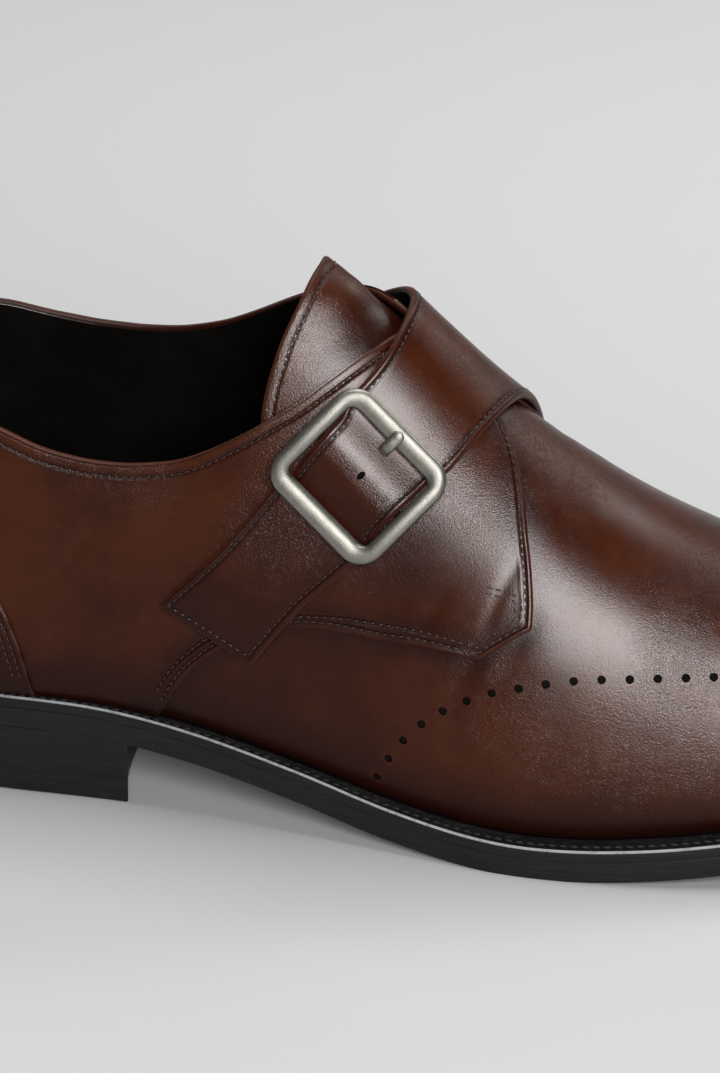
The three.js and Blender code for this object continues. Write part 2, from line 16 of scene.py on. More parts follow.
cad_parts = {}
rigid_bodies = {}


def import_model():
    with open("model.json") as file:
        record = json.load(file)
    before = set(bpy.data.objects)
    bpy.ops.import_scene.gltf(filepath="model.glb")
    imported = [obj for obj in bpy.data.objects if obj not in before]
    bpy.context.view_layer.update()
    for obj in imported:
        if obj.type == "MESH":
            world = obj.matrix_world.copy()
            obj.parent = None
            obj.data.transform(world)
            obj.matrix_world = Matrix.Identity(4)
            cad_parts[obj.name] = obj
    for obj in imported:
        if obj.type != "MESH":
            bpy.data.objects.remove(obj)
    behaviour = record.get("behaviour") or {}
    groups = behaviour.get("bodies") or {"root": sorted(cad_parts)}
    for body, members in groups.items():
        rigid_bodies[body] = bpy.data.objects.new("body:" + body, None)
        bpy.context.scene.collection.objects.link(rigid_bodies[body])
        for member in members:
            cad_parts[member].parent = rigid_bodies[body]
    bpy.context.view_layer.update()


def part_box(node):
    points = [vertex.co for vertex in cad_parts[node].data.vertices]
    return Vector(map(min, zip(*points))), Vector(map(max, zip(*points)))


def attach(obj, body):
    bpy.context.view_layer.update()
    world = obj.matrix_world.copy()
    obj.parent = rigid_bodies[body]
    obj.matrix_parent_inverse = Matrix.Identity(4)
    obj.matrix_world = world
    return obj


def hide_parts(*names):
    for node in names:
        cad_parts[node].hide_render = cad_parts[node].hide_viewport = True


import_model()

log = logging.getLogger("shoe")
Array = np.ndarray
Piece = bpy.types.Object
Finish = bpy.types.Material

MM = 0.001
# In millimetres: how far the darker colour reaches above the welt, the width of a stitched groove,
# and a distance that is clear of every groove.
FOOT_SHADE = 8.0
GROOVE_WIDTH = 0.42
FAR = 9.0


def smoothstep(x: Array, low: float, high: float) -> Array:
    """Smooth step from 0 at low to 1 at high."""
    t = np.clip((np.asarray(x, float) - low) / (high - low), 0.0, 1.0)
    return t * t * (3.0 - 2.0 * t)


@dataclass(frozen=True)
class Track:
    """Smooth curve through (key, value) rows."""

    rows: tuple[tuple[float, float], ...]

    @classmethod
    def even(cls, *values: float) -> "Track":
        """A curve through values at even keys from 0 to 1."""
        return cls(tuple((i / (len(values) - 1), value) for i, value in enumerate(values)))

    @classmethod
    def over(cls, keys: Sequence[float], *values: float) -> "Track":
        """A curve through values at given keys."""
        return cls(tuple(zip(keys, values)))

    def __call__(self, at: Array | float) -> Array:
        """Value of the curve.

        Args:
            at: Keys to read it at.

        Returns:
            The values, shaped like at.
        """
        keys = np.array([row[0] for row in self.rows])
        values = np.array([row[1] for row in self.rows])
        step = np.diff(keys)
        rate = np.diff(values) / step
        slope = np.empty_like(values)
        slope[0] = rate[0]
        slope[-1] = rate[-1]
        slope[1:-1] = (rate[:-1] * step[1:] + rate[1:] * step[:-1]) / (step[1:] + step[:-1])
        x = np.asarray(at, float)
        i = np.clip(np.searchsorted(keys, x, side="right") - 1, 0, len(step) - 1)
        h = step[i]
        u = (x - keys[i]) / h
        v = 1.0 - u
        return (
            values[i] * (1 + 2 * u) * v * v
            + slope[i] * h * u * v * v
            + values[i + 1] * u * u * (3 - 2 * u)
            - slope[i + 1] * h * u * u * v
        )


def hump(distance: Array, centre: float, width: float) -> Array:
    """A smooth hump, 1 at its centre, that fades over its width."""
    return np.exp(-(((distance - centre) / width) ** 2))


def near_edge(apart: Array, width: float) -> Array:
    """1 at an edge, falling to 0 a width away from it."""
    return np.clip(1 - apart / width, 0, 1)


def unit(vectors: Array) -> Array:
    """Vectors scaled to a length of 1."""
    return vectors / np.linalg.norm(vectors, axis=-1, keepdims=True)


def run_length(points: Array) -> Array:
    """Distance along a line of points at each point."""
    return np.concatenate([[0], np.cumsum(np.linalg.norm(np.diff(points, axis=0), axis=1))])


class Side(Enum):
    """The two sides of the foot, by the sign of a turn round the last."""

    OUTER = -1
    INNER = 1


# Shares of the length at which the sole's lift is given.
SIDE_KEYS = (0, 0.12, 0.245, 0.33, 0.42, 0.507, 0.594, 0.664, 0.734, 0.822, 0.909, 1)
# Distances from the heel, as shares of the turn, at which the collar is given.
TOP_KEYS = (
    0, 0.1, 0.178, 0.245, 0.285, 0.319, 0.35, 0.379, 0.405, 0.4245, 0.449, 0.473, 0.484, 0.491, 0.4975,
)


@dataclass(frozen=True)
class Last:
    """The last's skin in millimetres, by turn round it and rise to its centre line."""

    length: float = 286.0
    heel_width: float = 57.0
    ball_width: float = 88.0
    heel_rise: float = 18.2
    toe_spring: float = 11.0
    instep: float = 93.0
    heel_inset: float = 3.0
    toe_inset: float = 6.5
    toe_drift: float = 5.0
    ridge_drift: float = 3.0
    sole: float = 8.4
    gap: float = 0.3
    wall: float = 1.8
    throat_wall: float = 1.0
    swell_peak: float = 0.14
    level_up_to: float = 0.08
    throat: float = 0.4975
    probe: float = 0.002
    heel_part: Track = Track.over(SIDE_KEYS, 1, 1.02, 0.967, 0.78, 0.49, 0.165, 0, 0, 0, 0, 0, 0)
    toe_part: Track = Track.over(SIDE_KEYS, 0, 0, 0, 0, 0, 0, 0, 0, 0.136, 0.41, 0.69, 1)
    ridge: Track = Track((
        (0.217, 1.694), (0.28, 1.608), (0.35, 1.511), (0.402, 1.42), (0.455, 1.317),
        (0.507, 1.193), (0.56, 1.064), (0.63, 0.911), (0.7, 0.778), (0.77, 0.675),
        (0.84, 0.586), (0.881, 0.531),
    ))
    outer_half: Track = Track.even(0, 0.614, 0.947, 1.018, 0.984, 0.963, 1.011, 0.938, 0.745, 0.41, 0)
    inner_half: Track = Track.even(0, 0.597, 0.93, 0.965, 0.754, 0.675, 0.852, 0.937, 0.74, 0.42, 0)
    rib_top: Track = Track.even(0.217, 0.219, 0.231, 0.28, 0.371, 0.5, 0.636, 0.748, 0.829, 0.871, 0.881)
    outer_swell: Track = Track.even(2.5, 2.5, 3, 4, 4, 3, 2.5, 2.5, 2.5, 2.5, 2.5)
    inner_swell: Track = Track.even(2.5, 2.5, 3, 4, 6, 6, 3.5, 2.5, 2.5, 2.5, 2.5)
    square: Track = Track.even(0, 0, 0.01, 0.02, 0.02, 0.01, 0.02, 0.03, 0.03, 0.03, 0.03)
    reach: Track = Track(((0, 3), (0.2, 3), (0.4, 3.8), (0.6, 6), (0.8, 6.5), (1, 6.5)))
    top_outer: Track = Track.over(
        TOP_KEYS,
        0.38, 0.36, 0.338, 0.317, 0.306, 0.309, 0.325, 0.356, 0.411, 0.468, 0.565, 0.712, 0.806, 0.89,
        1,
    )
    top_inner: Track = Track.over(
        TOP_KEYS,
        0.38, 0.385, 0.385, 0.378, 0.382, 0.397, 0.424, 0.47, 0.54, 0.612, 0.72, 0.86, 0.92, 0.965, 1,
    )

    def feather_height(self, x: Array) -> Array:
        """Height of the feather edge over the floor at a distance from the heel.

        Args:
            x: Distances from the heel, mm.

        Returns:
            The heights, mm.
        """
        along = np.clip(np.asarray(x, float) / self.length, 0, 1)
        lift = self.heel_rise * self.heel_part(along) + self.toe_spring * self.toe_part(along)
        return self.sole + lift

    def ridge_height(self, x: Array) -> Array:
        """Height of the centre line over the floor."""
        return self.sole + self.gap + self.instep * self.ridge(np.asarray(x, float) / self.length)

    def feather(self, turn: Array) -> tuple[Array, Array]:
        """Plan position of the feather edge.

        Args:
            turn: -1 at the heel over the outer side to 0 at the toe and 1 at the heel.

        Returns:
            The x and y of each point.
        """
        turn = (np.asarray(turn, float) + 1) % 2 - 1
        at = 1 - np.abs(turn)
        x = self.heel_inset + (self.length - self.heel_inset - self.toe_inset) * (
            1 - np.cos(np.pi * at)
        ) / 2
        wide = smoothstep(at, 0.3, 0.6)
        half = (self.heel_width * (1 - wide) + self.ball_width * wide) / 2
        share = np.where(turn < 0, self.outer_half(at), self.inner_half(at))
        return x, np.sign(turn) * half * share + self.toe_drift * smoothstep(at, 0.6, 1)

    def skin(self, turn: Array, rise: Array) -> Array:
        """Points on the skin; a rise past 1 comes down the other side.

        Args:
            turn: Turns round the last.
            rise: Rises, 0 at the feather edge to 1 on the centre line.

        Returns:
            The points, mm.
        """
        turn, rise = np.broadcast_arrays(np.asarray(turn, float), np.asarray(rise, float))
        over = rise > 1
        turn = (np.where(over, -turn, turn) + 1) % 2 - 1
        rise = np.where(over, 2 - rise, rise)
        at = 1 - np.abs(turn)
        fx, fy = self.feather(turn)
        fz = self.feather_height(fx) + self.gap
        tx = self.length * self.rib_top(at)
        ty = self.ridge_drift * smoothstep(at, 0.5, 1)
        tz = self.ridge_height(tx)
        dx, dy = tx - fx, ty - fy
        climb = tz - fz
        grade = (self.ridge_height(tx + 0.1) - self.ridge_height(tx - 0.1)) / 0.2
        fall = grade * dx / climb
        end = np.clip(fall / (1 - fall), -0.6, 0.6)
        sweep = np.arccos(end)
        square = self.square(at) * np.sin(np.pi * rise) ** 2
        inward = (1 - np.cos(sweep * rise)) / (1 - end) - square
        upward = np.sin(sweep * rise) / np.sin(sweep) + square
        swell = np.where(turn < 0, self.outer_swell(at), self.inner_swell(at))
        swell = swell * (rise / self.swell_peak) * np.exp(1 - rise / self.swell_peak) * (1 - rise)
        shift = inward - swell / np.hypot(dx, dy)
        return np.stack([fx + dx * shift, fy + dy * shift, fz + climb * upward], -1)

    def normal(self, turn: Array, rise: Array) -> Array:
        """Outward unit direction, level at the feather edge.

        Args:
            turn: Turns of the points.
            rise: Their rises.

        Returns:
            The directions.
        """
        e = self.probe
        turn, rise = np.broadcast_arrays(np.asarray(turn, float), np.asarray(rise, float))
        rise = np.where(np.abs(rise - 1) < 1e-6, 0.9995, rise)
        around = self.skin(turn + e, rise) - self.skin(turn - e, rise)
        up = self.skin(turn, rise + e) - self.skin(turn, np.maximum(rise - e, 0))
        n = unit(np.cross(around, up))
        n[..., 2] *= smoothstep(np.minimum(rise, 2 - rise), 0, self.level_up_to)
        return unit(n)

    def on(self, turn: Array, rise: Array, out: Array | float) -> Array:
        """Points a distance outside the skin."""
        return self.skin(turn, rise) + self.normal(turn, rise) * np.asarray(out)[..., None]

    def top(self, turn: Array) -> Array:
        """Rise of the collar's top line, 1 ahead of the throat.

        Args:
            turn: Turns to read it at.

        Returns:
            The rises.
        """
        at = 1 - np.abs(turn)
        line = np.where(np.asarray(turn) < 0, self.top_outer(at), self.top_inner(at))
        return np.where(at >= self.throat, 1.0, np.minimum(line, 1.0))

    def wall_at(self, turn: Array, rise: Array) -> Array:
        """Thickness of the wall, thinner over the tongue.

        Args:
            turn: Turns of the points.
            rise: Their rises.

        Returns:
            The thicknesses, mm.
        """
        at = 1 - np.abs(turn)
        behind = smoothstep(at, 0.36, 0.42) * (1 - smoothstep(at, 0.56, 0.62))
        high = smoothstep(rise, 0.3, 0.42)
        return self.wall + (self.throat_wall - self.wall) * behind * high

    def outline(self, turn: Array, out: Array | float) -> Array:
        """Plan points of the feather edge pushed outwards.

        Args:
            turn: Turns of the points.
            out: How far outwards, mm.

        Returns:
            The points, as x and y.
        """
        e = self.probe
        ax, ay = self.feather(turn + e)
        bx, by = self.feather(turn - e)
        run = unit(np.stack([ax - bx, ay - by], -1))
        fx, fy = self.feather(turn)
        return np.stack([fx + run[..., 1] * out, fy - run[..., 0] * out], -1)

    @staticmethod
    def one_side(turn: Array, rise: Array) -> Array:
        """Turns with all points from the centre line on counted from the outer side."""
        return np.where(rise >= 1, -np.abs(turn), turn)

    def step(self, turn: Array, rise: Array, move: Array) -> tuple:
        """Turn and rise after a move in millimetres along the skin.

        Args:
            turn: Start turns.
            rise: Start rises.
            move: Moves as vectors in space, shaped (..., 3).

        Returns:
            The new turns and rises.
        """
        e = 1e-3
        du = (self.skin(turn + e, rise) - self.skin(turn - e, rise)) / (2 * e)
        dv = (self.skin(turn, rise + e) - self.skin(turn, rise - e)) / (2 * e)
        a, b, c = (du * du).sum(-1), (du * dv).sum(-1), (dv * dv).sum(-1)
        p, q = (du * move).sum(-1), (dv * move).sum(-1)
        det = a * c - b * b
        return turn + (p * c - q * b) / det, rise + (q * a - p * b) / det

    def inset(self, turn: Array, rise: Array, by: float) -> tuple:
        """A line on the skin moved to its left, seen from outside.

        Args:
            turn: Turns of the line.
            rise: Rises of the line.
            by: How far, mm.

        Returns:
            The new turns and rises.
        """
        p = self.skin(turn, rise)
        run = unit(np.gradient(p, axis=0))
        return self.step(turn, rise, np.cross(self.normal(turn, rise), run) * by)


LAST = Last()


def round_turns(count: int) -> Array:
    """Even turns once round the last."""
    return -1 + 2 * np.arange(count) / count


def _shift() -> Array:
    """Offset in millimetres from the last's own frame to the part's frame.

    Returns:
        The offset along x, y and z.
    """
    turn = round_turns(88)
    ring = LAST.outline(turn, LAST.reach(1 - np.abs(turn)))
    low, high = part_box("outsole")
    x = low[0] / MM - ring[:, 0].min()
    y = (low[1] + high[1]) / 2 / MM - (ring[:, 1].min() + ring[:, 1].max()) / 2
    return np.array([x, y, 0.0])


SHIFT = _shift()


def place(points: Array) -> Array:
    """Points of the last's frame in the part's frame, in metres."""
    return (np.asarray(points) + SHIFT) * MM


class Socket:
    """A node output that takes part in Python arithmetic, as Math nodes."""

    def __init__(self, tree: "Tree", socket: bpy.types.NodeSocket) -> None:
        """Wraps a socket of a tree."""
        self.tree = tree
        self.socket = socket

    def _math(self, operation: str, *values: "Socket | float") -> "Socket":
        """A Math node over sockets and numbers."""
        return self.tree.node("ShaderNodeMath", values, operation=operation)

    def __add__(self, other: "Socket | float") -> "Socket":
        """Sum of this and the other."""
        return self._math("ADD", self, other)

    __radd__ = __add__

    def __mul__(self, other: "Socket | float") -> "Socket":
        """Product of this and the other."""
        return self._math("MULTIPLY", self, other)

    __rmul__ = __mul__

    def __sub__(self, other: "Socket | float") -> "Socket":
        """This less the other."""
        return self._math("SUBTRACT", self, other)

    def __rsub__(self, other: "Socket | float") -> "Socket":
        """The other less this."""
        return self._math("SUBTRACT", other, self)

    def __truediv__(self, other: "Socket | float") -> "Socket":
        """This over the other."""
        return self._math("DIVIDE", self, other)

    def __pow__(self, other: "Socket | float") -> "Socket":
        """This to the power of the other."""
        return self._math("POWER", self, other)

    def band(self, low: float, high: float) -> "Socket":
        """Smooth step of this value.

        Args:
            low: Value that gives 0.
            high: Value that gives 1.

        Returns:
            The step.
        """
        return self.tree.node(
            "ShaderNodeMapRange", (self, low, high, 0.0, 1.0), interpolation_type="SMOOTHSTEP"
        )

    def clamp(self) -> "Socket":
        """This value held between 0 and 1."""
        return self.tree.node("ShaderNodeClamp", (self, 0.0, 1.0))


class Tree:
    """A shader tree under construction, with one method that adds nodes."""

    def __init__(self, name: str) -> None:
        """Starts a material.

        Args:
            name: The material's name.
        """
        self.material = bpy.data.materials.new(name)
        self.material.use_nodes = True
        self.nodes = self.material.node_tree.nodes
        self.links = self.material.node_tree.links
        self.nodes.clear()

    def node(
        self,
        kind: str,
        inputs: Sequence | dict = (),
        output: int | str = 0,
        **settings: object,
    ) -> Socket:
        """Adds a node.

        Args:
            kind: The node's type name.
            inputs: Values or sockets by place, or by input name.
            output: The output to return.
            **settings: Properties of the node.

        Returns:
            The chosen output.
        """
        made = self.nodes.new(kind)
        for key, value in settings.items():
            setattr(made, key, value)
        pairs = inputs.items() if isinstance(inputs, dict) else enumerate(inputs)
        for key, value in pairs:
            target = made.inputs[key]
            if isinstance(value, Socket):
                self.links.new(value.socket, target)
            elif value is not None:
                target.default_value = value
        return Socket(self, made.outputs[output] if made.outputs else None)

    def mix(self, factor: Socket | float, low: object, high: object) -> Socket:
        """Mixes two colours.

        Args:
            factor: 0 for the low colour to 1 for the high one.
            low: First colour or socket.
            high: Second colour or socket.

        Returns:
            The mixed colour.
        """
        made = self.nodes.new("ShaderNodeMix")
        made.data_type = "RGBA"
        for place_, value in ((0, factor), (6, low), (7, high)):
            if isinstance(value, Socket):
                self.links.new(value.socket, made.inputs[place_])
            else:
                made.inputs[place_].default_value = value
        return Socket(self, made.outputs[2])

    def position(self) -> Socket:
        """Object coordinates, which are the part's frame in metres."""
        return self.node("ShaderNodeTexCoord", output="Object")

    def noise(
        self, scale: float, detail: float = 2.0, roughness: float = 0.5, at: Socket | None = None
    ) -> Socket:
        """Noise between 0 and 1 over the part's frame.

        Args:
            scale: Its cells per metre.
            detail: Its finer layers.
            roughness: How strong they are.
            at: Where to read it, or the part's own frame.

        Returns:
            The noise.
        """
        where = at if at is not None else self.position()
        return self.node(
            "ShaderNodeTexNoise",
            {"Vector": where, "Scale": scale, "Detail": detail, "Roughness": roughness},
        )

    def stretched(self, x: float, y: float, z: float) -> Socket:
        """Position multiplied by a factor along each axis.

        Args:
            x: Factor along x.
            y: Factor along y.
            z: Factor along z.

        Returns:
            The stretched position.
        """
        return self.node(
            "ShaderNodeVectorMath", (self.position(), (x, y, z)), operation="MULTIPLY"
        )

    def attribute(self, name: str) -> Socket:
        """A number stored on the mesh."""
        return self.node("ShaderNodeAttribute", output="Fac", attribute_name=name)

    def bump(self, height: Socket, strength: float, distance: float) -> Socket:
        """Normal of a relief.

        Args:
            height: The relief.
            strength: How much of it shows.
            distance: Its height for a value of 1, m.

        Returns:
            The normal.
        """
        return self.node(
            "ShaderNodeBump", {"Strength": strength, "Distance": distance, "Height": height}
        )

    def surface(self, **inputs: object) -> Finish:
        """Finishes with a Principled surface.

        Args:
            **inputs: Its inputs, with underscores for spaces.

        Returns:
            The material.
        """
        shader = self.node(
            "ShaderNodeBsdfPrincipled", {k.replace("_", " "): v for k, v in inputs.items()}
        )
        self.node("ShaderNodeOutputMaterial", (shader,))
        return self.material


Colour = tuple[float, float, float, float]


@dataclass(frozen=True)
class Leather:
    """Burnished smooth leather with a fine creased grain and a dark lined back."""

    name: str
    deep: Colour = (0.0085, 0.0022, 0.0014, 1)
    body: Colour = (0.0255, 0.0036, 0.0007, 1)
    warm: Colour = (0.0580, 0.0116, 0.0013, 1)
    raw: Colour = (0.1100, 0.0360, 0.0200, 1)
    lined: Colour = (0.0090, 0.0085, 0.0080, 1)
    roughness: float = 0.245
    grain: float = 1.0

    def build(self) -> Finish:
        """Builds the finish.

        Returns:
            The material.
        """
        t = Tree(self.name)
        cloud = t.noise(17.0, 3.0, 0.55)
        fine = t.noise(120.0, 4.0, 0.6)
        shade = t.attribute("shade")
        patch = (cloud * 0.9 + fine * 0.3 - shade * 0.6 - 0.06).band(0.30, 0.72)
        colour = t.mix(patch, self.body, self.warm)
        dark = (shade * 0.9 + (t.noise(38.0, 2.0) - 0.5) * 0.5).clamp()
        colour = t.mix(dark, colour, self.deep)
        worn = (t.attribute("edge") * (0.45 + fine * 0.6)).clamp()
        colour = t.mix(worn, colour, self.raw)
        colour = t.mix(t.attribute("back").band(0.35, 0.65), colour, self.lined)
        height = self.relief(t)
        pores = t.noise(2300.0, 2.0, 0.6)
        bump = t.bump(height + pores * 0.01, 0.9, 0.00008 * self.grain)
        rough = self.roughness + (fine - 0.5) * 0.08 + pores * 0.04 + worn * 0.2
        return t.surface(
            Base_Color=colour,
            Roughness=rough,
            Normal=bump,
            Specular_IOR_Level=0.17,
        )

    def relief(self, t: Tree) -> Socket:
        """Height of the grain: short creases both ways, small cells and slow swells.

        Args:
            t: The material's tree.

        Returns:
            The height.
        """
        warp = t.node(
            "ShaderNodeVectorMath",
            {0: t.node("ShaderNodeTexNoise", {"Vector": t.position(), "Scale": 300.0}, 1), 3: 0.0009},
            operation="SCALE",
        )
        spot = t.node("ShaderNodeVectorMath", (t.position(), warp), operation="ADD")
        one = self.creases(t, spot, (0.3, 0.75, 0.4), (1700.0, 3600.0, 1700.0))
        two = self.creases(t, spot, (-0.2, -0.35, 0.2), (1800.0, 3400.0, 1800.0))
        cells = t.node(
            "ShaderNodeTexVoronoi",
            {"Vector": spot, "Scale": 1900.0, "Randomness": 1.0},
            feature="DISTANCE_TO_EDGE",
        )
        loud = 0.35 + 0.85 * t.noise(24.0, 2.0).band(0.36, 0.66)
        grain = one * 0.8 + two * 0.6 + cells.band(0.0, 0.16) * 0.25
        return grain * loud + t.noise(60.0, 2.0) * 2.0

    def creases(self, t: Tree, spot: Socket, turn: tuple, scale: tuple) -> Socket:
        """Fine creases that run one way.

        Args:
            t: The material's tree.
            spot: Where on the leather.
            turn: Rotation of the creases, radians.
            scale: Creases per metre along each axis.

        Returns:
            Their height.
        """
        way = t.node(
            "ShaderNodeMapping", {"Vector": spot, "Rotation": turn, "Scale": scale}
        )
        return t.noise(1.0, 1.0, 0.5, at=way)


@dataclass(frozen=True)
class Lining:
    """Matt near-black lining leather."""

    name: str
    colour: Colour = (0.0030, 0.0028, 0.0024, 1)

    def build(self) -> Finish:
        """Builds the finish.

        Returns:
            The material.
        """
        t = Tree(self.name)
        cloud = t.noise(40.0, 4.0, 0.6)
        fibre = t.noise(900.0, 3.0, 0.7)
        colour = t.mix(cloud.band(0.3, 0.75), self.colour, (0.0075, 0.0062, 0.0052, 1))
        bump = t.bump(fibre + cloud * 3.0, 0.5, 0.0002)
        return t.surface(
            Base_Color=colour, Roughness=0.68 + cloud * 0.2, Normal=bump, Specular_IOR_Level=0.02
        )


@dataclass(frozen=True)
class EdgeDressing:
    """Black-dressed sole edge, brushed along its length, polished on the welt's rim, with a painted
    highlight along the rim's top corner.
    """

    name: str
    colour: Colour = (0.0035, 0.0036, 0.0039, 1)
    # Light grey painted highlight along the top corner of the welt's rim.
    rim: Colour = (0.36, 0.37, 0.39, 1)
    frayed: Colour = (0.028, 0.021, 0.015, 1)
    roughness: float = 0.46

    def build(self) -> Finish:
        """Builds the finish.

        Returns:
            The material.
        """
        t = Tree(self.name)
        streak = t.noise(60.0, 4.0, 0.65, at=t.stretched(1.0, 1.0, 22.0))
        speck = t.noise(1500.0, 2.0, 0.6)
        fibre = t.noise(620.0, 4.0, 0.7)
        colour = t.mix(streak.band(0.35, 0.75), self.colour, (0.0090, 0.0093, 0.0100, 1))
        rough_band = t.attribute("shade")
        colour = t.mix(rough_band * fibre.band(0.52, 0.72), colour, self.frayed)
        polish_sheen = t.attribute("edge") * (0.55 + 0.45 * fibre.band(0.3, 0.55))
        colour = t.mix(polish_sheen.clamp(), colour, self.rim)
        height = streak * 1.2 + speck * 0.35 + rough_band * fibre * 9.0
        bump = t.bump(height, 0.5, 0.00022)
        return t.surface(
            Base_Color=colour,
            Roughness=(self.roughness + (streak - 0.5) * 0.22 - polish_sheen * 0.16 + rough_band * 0.2),
            Normal=bump,
            Specular_IOR_Level=0.32,
        )


@dataclass(frozen=True)
class Nickel:
    """Antiqued satin nickel, with painted shade on the lower side of each bar."""

    name: str
    low: Colour = (0.080, 0.074, 0.062, 1)
    high: Colour = (0.300, 0.290, 0.262, 1)

    def build(self) -> Finish:
        """Builds the finish.

        Returns:
            The material.
        """
        t = Tree(self.name)
        cloud = t.noise(260.0, 4.0, 0.65)
        speck = t.noise(2600.0, 3.0, 0.7)
        underside_shade = t.attribute("shade")
        tone = (cloud * 0.5 + speck * 0.5 - underside_shade * 0.9 + 0.1).band(0.1, 0.75)
        colour = t.mix(tone, self.low, self.high)
        bump = t.bump(speck + cloud * 0.6, 0.4, 0.00012)
        return t.surface(
            Base_Color=colour, Metallic=1.0, Roughness=0.32 + speck * 0.2, Normal=bump
        )


@dataclass(frozen=True)
class Thread:
    """Waxed thread."""

    name: str
    colour: Colour = (0.017, 0.0080, 0.0055, 1)
    roughness: float = 0.27

    def build(self) -> Finish:
        """Builds the finish.

        Returns:
            The material.
        """
        t = Tree(self.name)
        ply = t.noise(3000.0, 2.0)
        colour = t.mix(ply, self.colour, tuple(c * 2.2 for c in self.colour[:3]) + (1,))
        return t.surface(Base_Color=colour, Roughness=self.roughness, Specular_IOR_Level=0.5)


def mesh_object(
    name: str,
    points: Array,
    faces: Sequence[Sequence[int]],
    material: Finish,
    **numbers: Array,
) -> Piece:
    """A smooth-shaded object from points in the last's frame.

    Args:
        name: The object's name.
        points: Vertices in millimetres, in a list or a grid.
        faces: Vertex indices of each face.
        material: Its material.
        **numbers: A value for each vertex, stored by name.

    Returns:
        The object, linked to the scene.
    """
    mesh = bpy.data.meshes.new(name)
    vertices = place(points).reshape(-1, 3).tolist()
    mesh.from_pydata(vertices, [], [list(map(int, f)) for f in faces])
    for key, values in numbers.items():
        layer = mesh.attributes.new(key, "FLOAT", "POINT")
        layer.data.foreach_set("value", np.asarray(values, np.float32).ravel())
    mesh.materials.append(material)
    made = bpy.data.objects.new(name, mesh)
    bpy.context.scene.collection.objects.link(made)
    work = bmesh.new()
    work.from_mesh(mesh)
    bmesh.ops.remove_doubles(work, verts=work.verts, dist=2e-6)
    bmesh.ops.dissolve_degenerate(work, edges=work.edges, dist=1e-7)
    loose = [vert for vert in work.verts if not vert.link_faces]
    bmesh.ops.delete(work, geom=loose, context="VERTS")
    for face in work.faces:
        face.smooth = True
    work.to_mesh(mesh)
    work.free()
    mesh.set_sharp_from_angle(angle=math.radians(55))
    return made


def grid_faces(rows: int, columns: int, around: bool = False, start: int = 0) -> list[list[int]]:
    """Quads of a grid of vertices stored row by row.

    Args:
        rows: Vertices along the first axis.
        columns: Vertices along the second axis.
        around: Whether the first axis closes on itself.
        start: Index of the first vertex.

    Returns:
        The quads.
    """
    made = []
    for i in range(rows if around else rows - 1):
        k = (i + 1) % rows
        for j in range(columns - 1):
            made.append(
                [start + i * columns + j, start + k * columns + j,
                 start + k * columns + j + 1, start + i * columns + j + 1]
            )
    return made


def ring_faces(here: int, there: int, count: int) -> list[list[int]]:
    """Quads between two closed rings.

    Args:
        here: Number of the first ring.
        there: Number of the second ring.
        count: Vertices in a ring.

    Returns:
        The quads.
    """
    return [
        [here * count + j, here * count + (j + 1) % count,
         there * count + (j + 1) % count, there * count + j]
        for j in range(count)
    ]


def sleeve_faces(rings: int, count: int, closed: bool) -> list[list[int]]:
    """Faces of a row of closed rings.

    Args:
        rings: Number of rings.
        count: Vertices in a ring.
        closed: Whether the last ring joins the first; the ends are capped where it doesn't.

    Returns:
        The faces.
    """
    faces = []
    for i in range(rings if closed else rings - 1):
        faces += ring_faces(i, (i + 1) % rings, count)
    if not closed:
        faces.append(list(range(count))[::-1])
        faces.append([(rings - 1) * count + j for j in range(count)])
    return faces


def slab(
    name: str,
    outer: Array,
    inner: Array,
    material: Finish,
    keep: Array | None = None,
    folded_end: bool = False,
    **numbers: Array,
) -> Piece:
    """A closed sheet between two grids of points.

    Args:
        name: The object's name.
        outer: Outer grid, shaped (rows, columns, 3), in millimetres.
        inner: Inner grid, shaped alike.
        material: Its material.
        keep: Which quads to keep, shaped (rows - 1, columns - 1).
        folded_end: Whether the last row folds on itself and needs no rim.
        **numbers: Vertex values over the outer grid.

    Returns:
        The object.
    """
    rows, columns = outer.shape[:2]
    count = rows * columns
    quads = np.array(grid_faces(rows, columns))
    if keep is not None:
        quads = quads[keep.ravel()]
    faces = quads.tolist()
    faces += (quads[:, ::-1] + count).tolist()
    edges = np.concatenate([quads[:, [k, (k + 1) % 4]] for k in range(4)])
    keys = {(a, b) for a, b in edges.tolist()}
    last = count - columns if folded_end else count
    faces += [
        [b, a, a + count, b + count]
        for a, b in sorted(keys)
        if (b, a) not in keys and min(a, b) < last
    ]
    values = {k: np.concatenate([v.ravel(), v.ravel()]) for k, v in numbers.items()}
    values["back"] = np.repeat([0.0, 1.0], count)
    points = np.concatenate([outer.reshape(-1, 3), inner.reshape(-1, 3)])
    return mesh_object(name, points, faces, material, **values)


def baked(obj: Piece) -> Piece:
    """Applies an object's modifiers to its mesh.

    Args:
        obj: The object.

    Returns:
        The same object.
    """
    graph = bpy.context.evaluated_depsgraph_get()
    mesh = bpy.data.meshes.new_from_object(obj.evaluated_get(graph))
    obj.modifiers.clear()
    obj.data = mesh
    return obj


